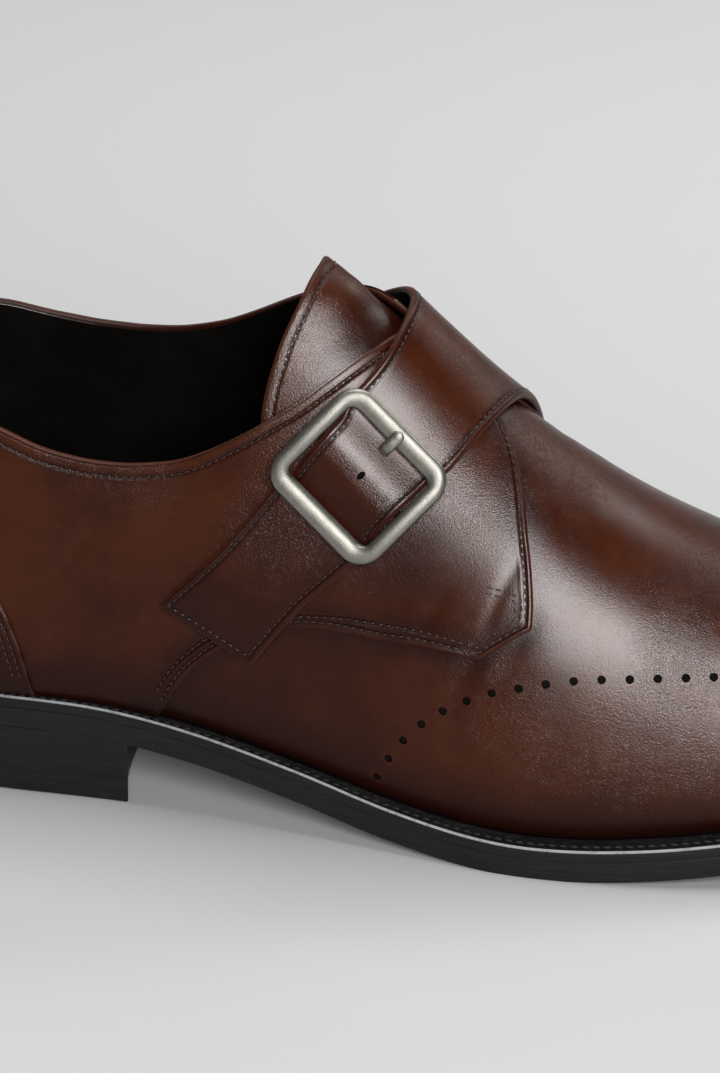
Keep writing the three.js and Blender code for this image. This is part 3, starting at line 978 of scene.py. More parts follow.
def cut_with(obj: Piece, plugs: Piece) -> None:
    """Cuts plugs out of a piece and keeps the smooth shading round each hole.

    Args:
        obj: The piece.
        plugs: The cutting object, removed afterwards; its near-black material colours the hole walls as
            painted shade.
    """
    count = len(obj.data.vertices)
    places = np.empty(count * 3, np.float32)
    ways = np.empty(count * 3, np.float32)
    obj.data.vertices.foreach_get("co", places)
    obj.data.vertex_normals.foreach_get("vector", ways)
    tree = KDTree(count)
    for i, point in enumerate(places.reshape(-1, 3)):
        tree.insert(point, i)
    tree.balance()
    ways = ways.reshape(-1, 3)
    cut = obj.modifiers.new("holes", "BOOLEAN")
    cut.operation = "DIFFERENCE"
    cut.solver = "EXACT"
    cut.material_mode = "TRANSFER"
    cut.object = plugs
    mesh = baked(obj).data
    around = []
    for vertex in mesh.vertices:
        found = tree.find_n(vertex.co, 4)
        weights = np.array([1.0 / (gap + 1e-6) for _, _, gap in found])
        way = (ways[[i for _, i, _ in found]] * weights[:, None]).sum(0)
        around.append(way / (np.linalg.norm(way) + 1e-12))
    normals = []
    for face in mesh.polygons:
        flat = np.array(face.normal)
        walls = face.material_index > 0
        for vertex in face.vertices:
            smooth = around[vertex]
            normals.append(flat if walls or smooth @ flat < 0.7 else smooth)
    mesh.normals_split_custom_set(normals)
    bpy.data.objects.remove(plugs)


class Repeat:
    """Geometry Nodes groups that set small shapes along a line."""

    groups: dict[str, bpy.types.NodeTree] = {}

    @classmethod
    def group(cls, shape: str) -> bpy.types.NodeTree:
        """The node group for one shape.

        Args:
            shape: "stitch" for short beads lying along the line, "hole" for round plugs.

        Returns:
            The group, made once.
        """
        if shape in cls.groups:
            return cls.groups[shape]
        tree = bpy.data.node_groups.new("repeat_" + shape, "GeometryNodeTree")
        face = tree.interface
        face.new_socket("Geometry", in_out="INPUT", socket_type="NodeSocketGeometry")
        for label, kind, value in (
            ("Pitch", "NodeSocketFloat", 0.003),
            ("Length", "NodeSocketFloat", 0.002),
            ("Width", "NodeSocketFloat", 0.0006),
            ("Wander", "NodeSocketFloat", 0.08),
            ("Seed", "NodeSocketInt", 7),
            ("Material", "NodeSocketMaterial", None),
        ):
            made = face.new_socket(label, in_out="INPUT", socket_type=kind)
            if value is not None:
                made.default_value = value
        face.new_socket("Geometry", in_out="OUTPUT", socket_type="NodeSocketGeometry")

        def add(kind: str, inputs: dict | None = None, **settings: object) -> bpy.types.Node:
            """Adds a node and links or sets its inputs.

            Args:
                kind: Its type name.
                inputs: Values or sockets by input.
                **settings: Properties of the node.

            Returns:
                The node.
            """
            node = tree.nodes.new(kind)
            for key, value in settings.items():
                setattr(node, key, value)
            for key, value in (inputs or {}).items():
                if isinstance(value, bpy.types.NodeSocket):
                    tree.links.new(value, node.inputs[key])
                else:
                    node.inputs[key].default_value = value
            return node

        source = add("NodeGroupInput").outputs
        curve = add("GeometryNodeMeshToCurve", {"Mesh": source["Geometry"]})
        spaced = add(
            "GeometryNodeResampleCurve",
            {"Curve": curve.outputs[0], "Length": source["Pitch"]},
            mode="LENGTH",
        )
        tangent = add("GeometryNodeInputTangent")
        normal = add("GeometryNodeInputNamedAttribute", {"Name": "facing"}, data_type="FLOAT_VECTOR")
        along = add(
            "FunctionNodeAxesToRotation",
            {"Primary Axis": normal.outputs[0], "Secondary Axis": tangent.outputs[0]},
            primary_axis="Z",
            secondary_axis="X",
        )
        if shape == "stitch":
            bead = add("GeometryNodeMeshUVSphere", {"Segments": 8, "Rings": 6, "Radius": 0.5})
            sized = add(
                "ShaderNodeCombineXYZ",
                {"X": source["Length"], "Y": source["Width"], "Z": source["Width"]},
            )
        else:
            cone = add(
                "GeometryNodeMeshCone",
                {"Vertices": 24, "Radius Top": 0.62, "Radius Bottom": 0.40, "Depth": 1.0},
            )
            bead = add(
                "GeometryNodeTransform", {"Geometry": cone.outputs[0], "Translation": (0, 0, -0.5)}
            )
            sized = add(
                "ShaderNodeCombineXYZ",
                {"X": source["Width"], "Y": source["Width"], "Z": source["Length"]},
            )
        back = add("ShaderNodeMath", {0: source["Wander"], 1: -1.0}, operation="MULTIPLY")
        jitter = add(
            "FunctionNodeRandomValue",
            {2: back.outputs[0], 3: source["Wander"], "Seed": source["Seed"]},
            data_type="FLOAT",
        )
        swing = add("ShaderNodeCombineXYZ", {"Z": jitter.outputs[1]})
        spin = add("FunctionNodeEulerToRotation", {0: swing.outputs[0]})
        turned = add(
            "FunctionNodeRotateRotation",
            {"Rotation": along.outputs[0], "Rotate By": spin.outputs[0]},
            rotation_space="LOCAL",
        )
        placed = add(
            "GeometryNodeInstanceOnPoints",
            {
                "Points": spaced.outputs[0],
                "Instance": bead.outputs[0],
                "Rotation": turned.outputs[0],
                "Scale": sized.outputs[0],
            },
        )
        real = add("GeometryNodeRealizeInstances", {"Geometry": placed.outputs[0]})
        smooth = add("GeometryNodeSetShadeSmooth", {"Geometry": real.outputs[0]})
        dressed = add(
            "GeometryNodeSetMaterial",
            {"Geometry": smooth.outputs[0], "Material": source["Material"]},
        )
        add("NodeGroupOutput", {"Geometry": dressed.outputs[0]})
        cls.groups[shape] = tree
        return tree


def row_of(
    name: str,
    shape: str,
    points: Array,
    facing: Array,
    material: Finish,
    pitch: float,
    length: float,
    width: float,
    wander: float = 0.1,
    seed: int = 7,
) -> Piece:
    """Small shapes set along one or more lines.

    Args:
        name: The object's name.
        shape: "stitch" or "hole".
        points: Line points in millimetres, (n, 3), or a list of such lines.
        facing: Outward directions of the same shape.
        material: Material of the shapes.
        pitch: Distance from one to the next, mm.
        length: Size along the line, or depth of a hole, mm.
        width: Thickness or diameter, mm.
        wander: Largest turn from the line, radians.
        seed: Seed of the wander.

    Returns:
        The object with the shapes as its mesh.
    """
    runs = points if isinstance(points, list) else [points]
    ways = facing if isinstance(facing, list) else [facing]
    vertices = np.concatenate(runs)
    edges = []
    start = 0
    for run in runs:
        edges += [(start + i, start + i + 1) for i in range(len(run) - 1)]
        start += len(run)
    mesh = bpy.data.meshes.new(name)
    mesh.from_pydata(place(vertices).tolist(), edges, [])
    layer = mesh.attributes.new("facing", "FLOAT_VECTOR", "POINT")
    layer.data.foreach_set("vector", np.concatenate(ways).astype(np.float32).ravel())
    obj = bpy.data.objects.new(name, mesh)
    bpy.context.scene.collection.objects.link(obj)
    modifier = obj.modifiers.new("repeat", "NODES")
    modifier.node_group = Repeat.group(shape)
    values = {
        "Pitch": pitch * MM,
        "Length": length * MM,
        "Width": width * MM,
        "Wander": wander,
        "Seed": seed,
        "Material": material,
    }
    for item in modifier.node_group.interface.items_tree:
        if item.in_out == "INPUT" and item.name in values:
            modifier[item.identifier] = values[item.name]
    return baked(obj)


def near(points: Array, line: Array) -> Array:
    """Distance from each point of a grid to a line.

    Args:
        points: The grid, mm.
        line: Points of the line, mm.

    Returns:
        The distances, shaped like the grid.
    """
    flat = points.reshape(-1, 3)
    best = np.full(len(flat), 1e9)
    for start in range(0, len(line), 64):
        part = line[start : start + 64]
        d2 = ((flat[:, None, :] - part[None, :, :]) ** 2).sum(-1)
        best = np.minimum(best, d2.min(1))
    return np.sqrt(best).reshape(points.shape[:-1])


def evenly(turn: Array, rise: Array, spacing: float = 0.7) -> tuple:
    """A line on the skin resampled to even steps.

    Args:
        turn: Turns of its corners.
        rise: Rises of its corners.
        spacing: Step in millimetres.

    Returns:
        The new turns and rises.
    """
    fine = np.linspace(0, len(turn) - 1, len(turn) * 12)
    t = np.interp(fine, np.arange(len(turn)), turn)
    r = np.interp(fine, np.arange(len(rise)), rise)
    p = LAST.skin(t, r)
    run = run_length(p)
    at = np.arange(0, run[-1], spacing)
    return np.interp(at, run, t), np.interp(at, run, r)


class Panels:
    """Where the upper's panels end, as turns and rises."""

    corner_low = (0.5566, 0.298)
    corner_front = (0.5862, 0.398)
    lower = Track((
        (0, 0.3610), (0.012, 0.3655), (0.085, 0.3875), (0.133, 0.408), (0.197, 0.4466),
        (0.224, 0.4723), (0.25, 0.502), (0.272, 0.5224), (0.298, 0.5566),
    ))
    front = Track((
        (0.398, 0.5862), (0.44, 0.5861), (0.511, 0.5836), (0.601, 0.5786), (0.702, 0.573),
        (0.8, 0.5647), (0.87, 0.5544), (1.0, 0.53),
    ))
    counter_height = 0.25
    counter_reach = 0.2732

    @classmethod
    def quarter(cls, rise: Array) -> Array:
        """How far from the heel the quarter reaches at a rise.

        Args:
            rise: Rises to read it at.

        Returns:
            The reach, as a share of the turn.
        """
        rise = np.asarray(rise, float)
        slant = np.interp(
            rise, (cls.corner_low[1], cls.corner_front[1]), (cls.corner_low[0], cls.corner_front[0])
        )
        high = np.where(
            rise > cls.corner_front[1], cls.front(np.clip(rise, cls.corner_front[1], 1)), slant
        )
        return np.where(rise < cls.corner_low[1], cls.lower(np.clip(rise, 0, cls.corner_low[1])), high)

    @classmethod
    def counter(cls, rise: Array) -> Array:
        """How far from the heel the counter reaches at a rise.

        Args:
            rise: Rises to read it at.

        Returns:
            The reach, as a share of the turn.
        """
        share = np.clip(np.asarray(rise, float) / cls.counter_height, 0, 1)
        return cls.counter_reach * np.sqrt(np.maximum(1 - share**2.6, 0))

    @classmethod
    def quarter_line(cls, side: Side, low: float = 0.0, high: float = 1.0) -> tuple:
        """The quarter's edge from the welt to the centre line.

        Args:
            side: The shoe's side.
            low: Rise it starts at.
            high: Rise it ends at.

        Returns:
            The turns and rises.
        """
        corners = [cls.corner_low[1], cls.corner_front[1]]
        rise = np.unique(np.concatenate([np.linspace(low, high, 90), corners]))
        rise = rise[(rise >= low) & (rise <= high)]
        return evenly(side.value * (1 - cls.quarter(rise)), rise)


def foot_shade(points: Array, turn: Array) -> Array:
    """How much darker the leather is made above the feather edge, 1 at the edge."""
    feather = LAST.skin(turn, np.zeros_like(turn))
    return np.exp(-np.linalg.norm(points - feather, axis=-1) / FOOT_SHADE)


@dataclass(frozen=True)
class Folds:
    """Soft folds that run up a panel, each a row of its place, slope, reach, depth and width."""

    rows: tuple[tuple[float, ...], ...]
    base: float
    fade_in: float
    fade_out: float

    def height(self, turn: Array, rise: Array) -> Array:
        """Height of the folds.

        Args:
            turn: Turns of the points.
            rise: Their rises.

        Returns:
            The height of each point, mm.
        """
        at = 1 - np.abs(turn)
        wave = np.zeros_like(at)
        for centre, slope, low, high, depth, width in self.rows:
            middle = centre + slope * (rise - self.base)
            fade = 1 - smoothstep(rise, high - self.fade_out, high)
            wave += depth * hump(at, middle, width) * (smoothstep(rise, low, low + self.fade_in) * fade)
        return wave


@dataclass
class Vamp:
    """The front of the upper, from under the quarters to the toe, with its punched row."""

    leather: Finish
    lining: Finish
    thickness: float = 1.2
    columns: int = 150
    rows: int = 180
    hole: float = 2.1
    hole_pitch: float = 6.75
    hole_depth: float = 1.6
    back: float = 0.33
    hidden_up_to: float = 0.505
    hidden_above: float = 0.30
    folds: Folds = Folds(
        (
            (0.553, 0.10, 0.10, 0.62, -0.35, 0.0045), (0.572, 0.13, 0.08, 0.50, -0.22, 0.0040),
            (0.612, -0.03, 0.55, 1.45, -0.20, 0.0050), (0.628, -0.02, 0.60, 1.30, 0.16, 0.0060),
        ),
        0.3, 0.15, 0.2,
    )

    def hole_line(self) -> tuple[Array, Array]:
        """The line of the punched row, from the outer side round the toe.

        Returns:
            The turns and rises.
        """
        row = (
            (0.4985, 0.033), (0.5061, 0.075), (0.5162, 0.120), (0.5291, 0.165), (0.5441, 0.205),
            (0.5603, 0.243), (0.5765, 0.272), (0.5930, 0.300), (0.6094, 0.325), (0.6265, 0.347),
            (0.6443, 0.366), (0.6616, 0.384), (0.6802, 0.402), (0.6994, 0.419), (0.73, 0.447),
            (0.76, 0.474), (0.80, 0.515), (0.84, 0.56), (0.88, 0.60), (0.93, 0.635), (1.0, 0.65),
        )
        at, rise = np.array(row).T
        t = np.concatenate([at - 1, (1 - at)[::-1][1:]])
        return t, np.concatenate([rise, rise[::-1][1:]])

    def build(self) -> Piece:
        """Builds the vamp with its holes.

        Returns:
            The piece.
        """
        at = np.linspace(self.back, 1.0, self.columns)[:, None]
        rise = np.linspace(0.0, 2.0, self.rows)[None, :]
        at, rise = np.broadcast_arrays(at, rise)
        turn = -(1 - at)
        skin = LAST.skin(turn, rise)
        normal = LAST.normal(turn, rise)
        outer = skin + normal * self.folds.height(turn, rise)[..., None]
        inner = skin - normal * self.thickness
        apart = near(skin, np.concatenate([LAST.skin(*Panels.quarter_line(side)) for side in Side]))
        low = np.minimum(rise, 2 - rise)
        foot = foot_shade(skin, np.where(rise > 1, -turn, turn))
        # Darker towards the welt and the toe, with painted shade beside the quarters' overlapping edges.
        shade = 0.95 * foot + 0.55 * np.exp(-apart / 2.2)
        shade = np.clip(shade + 0.15 * smoothstep(at, 0.85, 1.0), 0, 1)
        middle_at = (at[:-1, :-1] + at[1:, 1:]) / 2
        middle_low = (low[:-1, :-1] + low[1:, 1:]) / 2
        keep = (middle_at > self.hidden_up_to) | (middle_low < self.hidden_above)
        vamp = slab("vamp", outer, inner, self.leather, keep, True, shade=shade)
        self.punch(vamp)
        return vamp

    def punch(self, vamp: Piece) -> None:
        """Cuts the row of round holes through the outer leather.

        Args:
            vamp: The piece to cut.
        """
        t, r = evenly(*self.hole_line())
        # The plugs put the near-black lining finish on the hole walls: painted shade inside the holes.
        plugs = row_of(
            "plugs", "hole", LAST.on(t, r, 0.0), LAST.normal(t, r), self.lining,
            self.hole_pitch, self.hole_depth, self.hole, 0.0,
        )
        cut_with(vamp, plugs)


@dataclass
class Quarter:
    """One side panel, from the heel to its cut front edge."""

    side: Side
    leather: Finish
    columns: int = 110
    edge_columns: int = 62
    rows: int = 132
    top_rows: int = 20
    thickness: float = 1.15
    bottom: float = -0.4
    fine_edge: float = 0.10
    split: float = 0.25
    split_at: float = 0.4
    groove: float = 0.24
    lip: float = 0.08
    grooved_up_to: float = 0.30
    folds: Folds = Folds(
        (
            (0.33, 0.35, 0.10, 0.30, -0.25, 0.006), (0.515, 0.16, 0.28, 0.42, -0.30, 0.005),
            (0.548, 0.10, 0.32, 0.62, -0.22, 0.004),
        ),
        0.25, 0.08, 0.1,
    )

    def grid(self) -> tuple[Array, Array]:
        """Grid of the panel.

        Returns:
            The turns and rises.
        """
        coarse = np.linspace(0, 1 - self.fine_edge, self.columns)
        fine = np.linspace(1 - self.fine_edge, 1, self.edge_columns)[1:]
        along = np.concatenate([coarse, fine])[:, None]
        low = np.linspace(0, 0.93, self.rows)
        up = np.concatenate([low, np.linspace(0.93, 1, self.top_rows)[1:]])[None, :]
        rise = np.broadcast_to(up * 0.5, (along.shape[0], up.shape[1])).copy()
        for _ in range(60):
            at = along * Panels.quarter(rise)
            top = LAST.top(self.side.value * (1 - at))
            share = np.clip((up - self.split_at) / (1 - self.split_at), 0, 1)
            below = up / self.split_at * self.split
            rise = np.where(up < self.split_at, below, self.split + share * (top - self.split))
        return self.side.value * (1 - along * Panels.quarter(rise)), rise

    def seam_distances(self, skin: Array, rise: Array) -> list[Array]:
        """How far each vertex is from the grooved seams.

        Args:
            skin: The panel's vertices on the skin.
            rise: Their rises.

        Returns:
            A grid of distances for each seam, mm.
        """
        outer_row, inner_row, _ = Stitching.quarter_rows(self.side, 0.0)
        collar_row = Stitching.collar_row(self.side, 0.0)
        low = np.where(rise < self.grooved_up_to, near(skin, inner_row[0]), FAR)
        return [near(skin, outer_row[0]), low, near(skin, collar_row[0])]

    def build(self) -> Piece:
        """Builds the panel with its cut edge, grooves and folds.

        Returns:
            The piece.
        """
        turn, rise = self.grid()
        if self.side is Side.INNER:
            turn, rise = turn[::-1], rise[::-1]
        skin = LAST.skin(turn, rise)
        normal = LAST.normal(turn, rise)
        apart = near(skin, LAST.skin(*Panels.quarter_line(self.side)))
        rows = self.seam_distances(skin, rise)
        out = self.thickness - 0.5 * near_edge(apart, 0.7) ** 2
        out = out + 0.10 * hump(apart, 0.8, 0.4)
        for row in rows:
            out = out - self.groove * hump(row, 0, GROOVE_WIDTH) + self.lip * hump(row, 1.0, 0.4)
        out = out + self.folds.height(turn, rise)
        # Darker towards the welt, just below the collar line and in a band about 3.5 mm inside the cut
        # edge, with painted shade in each stitched groove.
        collar = np.exp(-((LAST.top(turn) - rise) * 180) / 4.0)
        shade = 0.9 * foot_shade(skin, turn) + 0.30 * collar
        shade = np.clip(shade + 0.25 * hump(apart, 3.5, 3.0), 0, 1)
        for row in rows:
            shade = np.clip(shade + 0.4 * hump(row, 0, GROOVE_WIDTH), 0, 1)
        outer = skin + normal * out[..., None]
        inner = skin + normal * self.bottom
        rub = 0.6 * near_edge(apart, 0.5)
        name = "quarter_" + self.side.name.lower()
        return slab(name, outer, inner, self.leather, shade=shade, edge=rub)


@dataclass
class Counter:
    """The heel's outer panel."""

    leather: Finish
    base: float = 1.1
    thickness: float = 1.0
    overlap: float = 0.3
    groove: float = 0.20

    def line(self, side: Side) -> tuple[Array, Array]:
        """The panel's edge on one side, from the welt to the heel's back.

        Args:
            side: The shoe's side.

        Returns:
            The turns and rises.
        """
        rise = Panels.counter_height * np.sin(np.linspace(0, np.pi / 2, 80))
        return evenly(side.value * (1 - Panels.counter(rise)), rise)

    def build(self) -> Piece:
        """Builds the panel with its rounded edge and two grooves.

        Returns:
            The piece.
        """
        rise = (Panels.counter_height * np.sin(np.linspace(0, np.pi / 2, 70)))[None, :]
        across = np.sin(np.linspace(-np.pi / 2, np.pi / 2, 130))[:, None]
        reach = Panels.counter(rise)
        turn = np.where(across < 0, 1 - np.abs(across) * reach, -1 + np.abs(across) * reach)
        rise = np.broadcast_to(rise, turn.shape)
        skin = LAST.skin(turn, rise)
        normal = LAST.normal(turn, rise)
        apart = near(skin, np.concatenate([LAST.skin(*self.line(side)) for side in Side]))
        out = self.base + self.thickness * (1 - 0.5 * near_edge(apart, 0.7) ** 2)
        for row in Stitching.rows_inside:
            out = out - self.groove * hump(apart, row, GROOVE_WIDTH)
        out = out + 0.10 * hump(apart, sum(Stitching.rows_inside) / 2, 0.4)
        shade = np.clip(0.9 * foot_shade(skin, turn) + 0.2 * np.exp(-apart / 5.0), 0, 1)
        outer = skin + normal * out[..., None]
        inner = skin + normal * (self.base - self.overlap)
        rub = 0.6 * near_edge(apart, 0.5)
        return slab("counter", outer, inner, self.leather, shade=shade, edge=rub)


@dataclass
class Collar:
    """The folded edge along the top line."""

    leather: Finish
    outside: float = 1.2
    drop: float = 0.9
    stations: int = 150

    def build(self) -> Piece:
        """Builds the bead, from the throat round the heel to the throat.

        Returns:
            The piece.
        """
        at = LAST.throat * (1 - np.linspace(1, 0, self.stations) ** 1.5)
        turn = np.concatenate([(1 - at[::-1])[:-1], -(1 - at)])
        rise = LAST.top(turn)
        skin = LAST.skin(turn, rise)
        normal = LAST.normal(turn, rise)
        run = unit(np.gradient(skin, axis=0))
        up = np.cross(normal, run)
        inside = -LAST.wall_at(turn, rise)
        middle = (self.outside + inside) / 2
        radius = (self.outside - inside) / 2 + 0.05
        angle = np.linspace(-0.35, np.pi + 0.25, 18)
        height = np.where(np.sin(angle) > 0, np.sin(angle) * 0.85, np.sin(angle) * 3.0)
        ring = (
            skin[:, None, :]
            + normal[:, None, :] * (middle[:, None] + radius[:, None] * np.cos(angle))[..., None]
            + up[:, None, :] * (radius[:, None] * height - self.drop)[..., None]
        )
        # Painted shade on the side of the bead that turns into the shoe.
        shade = np.broadcast_to(smoothstep(angle, 1.6, 2.4) * 0.6, ring.shape[:2])
        rub = np.broadcast_to(0.55 * hump(angle, 0.9, 0.5), ring.shape[:2])
        return mesh_object(
            "collar_edge", ring, grid_faces(*ring.shape[:2]), self.leather, shade=shade, edge=rub
        )


@dataclass
class InnerLining:
    """The dark lining inside the upper, with its upright seam."""

    lining: Finish
    proud: float = 0.15
    fold: float = 0.35
    seam: float = 0.245

    def build(self) -> Piece:
        """Builds the lining, closed over the toe.

        Returns:
            The piece.
        """
        at = np.concatenate([np.linspace(0, LAST.throat, 110), np.linspace(LAST.throat, 1, 60)[1:]])
        turn = np.concatenate([-(1 - at), (1 - at)[::-1][1:-1]])[:, None]
        up = 1 - (1 - np.linspace(0, 1, 60)) ** 1.2
        rise = LAST.top(turn) * up[None, :]
        turn = np.broadcast_to(turn, rise.shape)
        one = LAST.one_side(turn, rise)
        skin = LAST.skin(one, rise)
        normal = LAST.normal(one, rise)
        wall = LAST.wall_at(turn, rise)
        where = 1 - np.abs(turn)
        fold = self.fold * smoothstep(where, self.seam - 0.004, self.seam)
        inner = skin - normal * (wall + self.proud + fold)[..., None]
        ring = np.concatenate([inner, inner[:1]])[:, ::-1]
        return mesh_object("lining", ring, grid_faces(*ring.shape[:2]), self.lining)


@dataclass
class Tongue:
    """The plate of leather under the throat."""

    leather: Finish
    thickness: float = 1.9
    stitch_inset: float = 2.8
    stitch_depth: float = 0.12
    front: float = 0.55
    end: Track = Track(
        ((0, 0.4385), (0.25, 0.437), (0.47, 0.4338), (0.72, 0.426), (0.9, 0.4212), (1, 0.4203))
    )

    def at(self, length: Array, across: Array) -> tuple[Array, Array]:
        """Turn and rise of a place on the tongue.

        Args:
            length: 0 at the free end to 1 under the vamp.
            across: -1 on the outer side to 1 on the inner side.

        Returns:
            The turns and rises.
        """
        wide = np.abs(across)
        at = self.end(wide) + (self.front - self.end(wide)) * length
        side_rise = 0.44 + 0.18 * length
        return (at - 1) * np.where(across <= 0, 1, -1), 1 - wide * (1 - side_rise)

    def surface(self, length: Array, across: Array, deeper: float) -> Array:
        """Points below the tongue's face.

        Args:
            length: 0 at the free end to 1 under the vamp.
            across: -1 on the outer side to 1 on the inner side.
            deeper: How far below, mm.

        Returns:
            The points, mm.
        """
        turn, rise = self.at(length, across)
        at = 1 - np.abs(turn)
        above = smoothstep(rise - LAST.top(turn), 0.08, 0.28)
        clear = above * (1 - smoothstep(at, LAST.throat - 0.042, LAST.throat - 0.016))
        under = -(LAST.throat_wall + 0.6) * (1 - clear)
        return LAST.on(LAST.one_side(turn, rise), rise, under - deeper)

    def build(self) -> Piece:
        """Builds the tongue with its rounded edge and groove.

        Returns:
            The piece.
        """
        length = np.concatenate([np.linspace(0, 0.12, 22), np.linspace(0.12, 1, 60)[1:]])[:, None]
        across = np.sin(np.linspace(-np.pi / 2, np.pi / 2, 91))[None, :]
        length, across = np.broadcast_arrays(length, across)
        flat = self.surface(length, across, np.zeros(length.shape))
        rim = np.concatenate([flat[0], flat[:, 0], flat[:, -1]])
        apart = near(flat, rim)
        rounding = near_edge(apart, 0.9) ** 2
        sunk = 0.55 * rounding + 0.2 * hump(apart, self.stitch_inset, 0.45)
        outer = self.surface(length, across, sunk)
        inner = self.surface(length, across, self.thickness - 0.5 * rounding)
        # Painted shade where the tongue runs under the vamp and in the stitched groove; slightly darker
        # near its edge.
        shade = 0.35 * smoothstep(length, 0.12, 0.4) + 0.15 * np.exp(-apart / 4)
        shade = np.clip(shade + 0.4 * hump(apart, self.stitch_inset, GROOVE_WIDTH), 0, 1)
        rub = 0.9 * near_edge(apart, 0.7)
        return slab("tongue_leather", outer, inner, self.leather, shade=shade, edge=rub)


@dataclass
class Strap:
    """The band from the inner quarter over the instep to its tip."""

    leather: Finish
    lining: Finish
    floor: float = 1.4
    thickness: float = 2.2
    lift: float = 2.6
    lift_span: float = 8.0
    station: float = 0.329
    narrowing: float = 0.11
    arch: float = 3.2
    tip: float = -0.02
    stitch_inset: float = 2.1
    slot: tuple[float, float] = (1.2, 0.72)
    back_at: Track = Track.even(
        0.3748, 0.4006, 0.4225, 0.4445, 0.4675, 0.484, 0.4875, 0.48, 0.466, 0.451, 0.437
    )
    back_rise: Track = Track.even(0.173, 0.247, 0.331, 0.44, 0.58, 0.735, 0.93, 1.12, 1.27, 1.39, 1.49)
    front_at: Track = Track.even(
        0.43, 0.4535, 0.479, 0.5045, 0.528, 0.5455, 0.5575, 0.564, 0.568, 0.57, 0.571
    )
    front_rise: Track = Track.even(
        0.146, 0.232, 0.326, 0.445, 0.586, 0.762, 0.965, 1.165, 1.335, 1.465, 1.57
    )

    def spot(self, along: Array, across: Array) -> tuple[Array, Array]:
        """Turn and rise of a place on the strap.

        Args:
            along: 0 at the tip to 1 at the inner quarter.
            across: 0 on the back edge to 1 on the front edge.

        Returns:
            The turns and rises.
        """
        at = self.back_at(along) * (1 - across) + self.front_at(along) * across
        rise = self.back_rise(along) * (1 - across) + self.front_rise(along) * across
        return at - 1, rise

    def seat(self) -> tuple[Array, Array, Array, Array]:
        """The buckle's seat on the strap.

        Returns:
            Its origin and its u, v and n directions.
        """
        at = np.array([self.station - 0.02, self.station, self.station + 0.02])
        turn, rise = self.spot(at, np.full(3, 0.5))
        points = LAST.on(turn, rise, self.floor)
        n = LAST.normal(turn[1], rise[1])
        run = points[2] - points[0]
        u = unit(run - n * (run @ n))
        return points[1], u, np.cross(n, u), n

    def surface(self, along: Array, across: Array, over: Array) -> Array:
        """Points over the strap's underside.

        Args:
            along: 0 at the tip to 1 at the inner quarter.
            across: 0 on the back edge to 1 on the front edge.
            over: How far over it, mm.

        Returns:
            The points, mm.
        """
        origin, u, _, _ = self.seat()
        turn, rise = self.spot(along, np.full(np.shape(along), 0.5))
        run = np.abs((LAST.on(turn, rise, self.floor) - origin) @ u)
        narrow = 1 - self.narrowing * (1 - smoothstep(run, 8, 14))
        flare = 1 + 0.035 * (1 - smoothstep(along, 0.0, 0.14))
        turn, rise = self.spot(along, 0.5 + (across - 0.5) * narrow * flare)
        base = LAST.on(turn, rise, self.floor)
        off = np.abs((base - origin) @ u)
        lift = self.lift * (1 - smoothstep(off, 1, self.lift_span + 4))
        arch = self.arch * hump(along, 0.58, 0.17) * near_edge(across, 1) ** 1.3
        return LAST.on(turn, rise, self.floor + lift + arch + over)

    def build(self) -> Piece:
        """Builds the strap with its spare hole.

        Returns:
            The piece.
        """
        along = np.linspace(self.tip, 1, 230)[:, None]
        edge = 0.5 - 0.5 * np.cos(np.linspace(0, np.pi, 49))
        across = (0.6 * edge + 0.4 * np.linspace(0, 1, 49))[None, :]
        along, across = np.broadcast_arrays(along, across)
        flat = self.surface(along, across, np.zeros(along.shape))
        rim = np.concatenate([flat[0], flat[:, 0], flat[:, -1], flat[-1]])
        apart = near(flat, rim)
        bevel = 0.75 * near_edge(apart, 0.85) ** 2
        groove = 0.22 * hump(apart, self.stitch_inset, GROOVE_WIDTH)
        groove = groove - 0.10 * hump(apart, self.stitch_inset - 1.0, 0.45)
        outer = self.surface(along, across, self.thickness - bevel - groove)
        inner = self.surface(along, across, bevel * 0.4)
        # Darker near the edges and towards the tip, with painted shade in the stitched groove.
        shade = 0.22 * np.exp(-apart / 3.0) + 0.2 * smoothstep(along, 0.1, 0.0)
        shade = np.clip(shade + 0.4 * hump(apart, self.stitch_inset, GROOVE_WIDTH), 0, 1)
        rub = 0.95 * near_edge(apart, 0.6)
        strap = slab(
            "strap_leather", outer.transpose(1, 0, 2), inner.transpose(1, 0, 2), self.leather,
            shade=shade.T, edge=rub.T,
        )
        self.punch(strap)
        return strap

    def punch(self, strap: Piece) -> None:
        """Cuts the spare hole, a short slanted slot.

        Args:
            strap: The piece to cut.
        """
        origin, u, v, n = self.seat()
        count = 24
        angle = np.linspace(0, 2 * np.pi, count + 1)[:-1]
        wide, thin = u * self.slot[0], v * self.slot[1]
        ring = np.cos(angle)[:, None] * wide + np.sin(angle)[:, None] * thin
        middle = origin + u * 0.8 - v * 0.3 + n * (self.lift + self.thickness)
        points = np.concatenate([middle + ring * 0.85 - n * 1.6, middle + ring * 1.1 + n * 1.0])
        faces = ring_faces(0, 1, count)
        faces += [list(range(count))[::-1], list(range(count, 2 * count))]
        # The plug puts the near-black lining finish on the slot's walls: painted shade inside the slot.
        plug = mesh_object("spare_plug", points, faces, self.lining)
        work = bmesh.new()
        work.from_mesh(plug.data)
        bmesh.ops.recalc_face_normals(work, faces=work.faces)
        work.to_mesh(plug.data)
        work.free()
        cut_with(strap, plug)


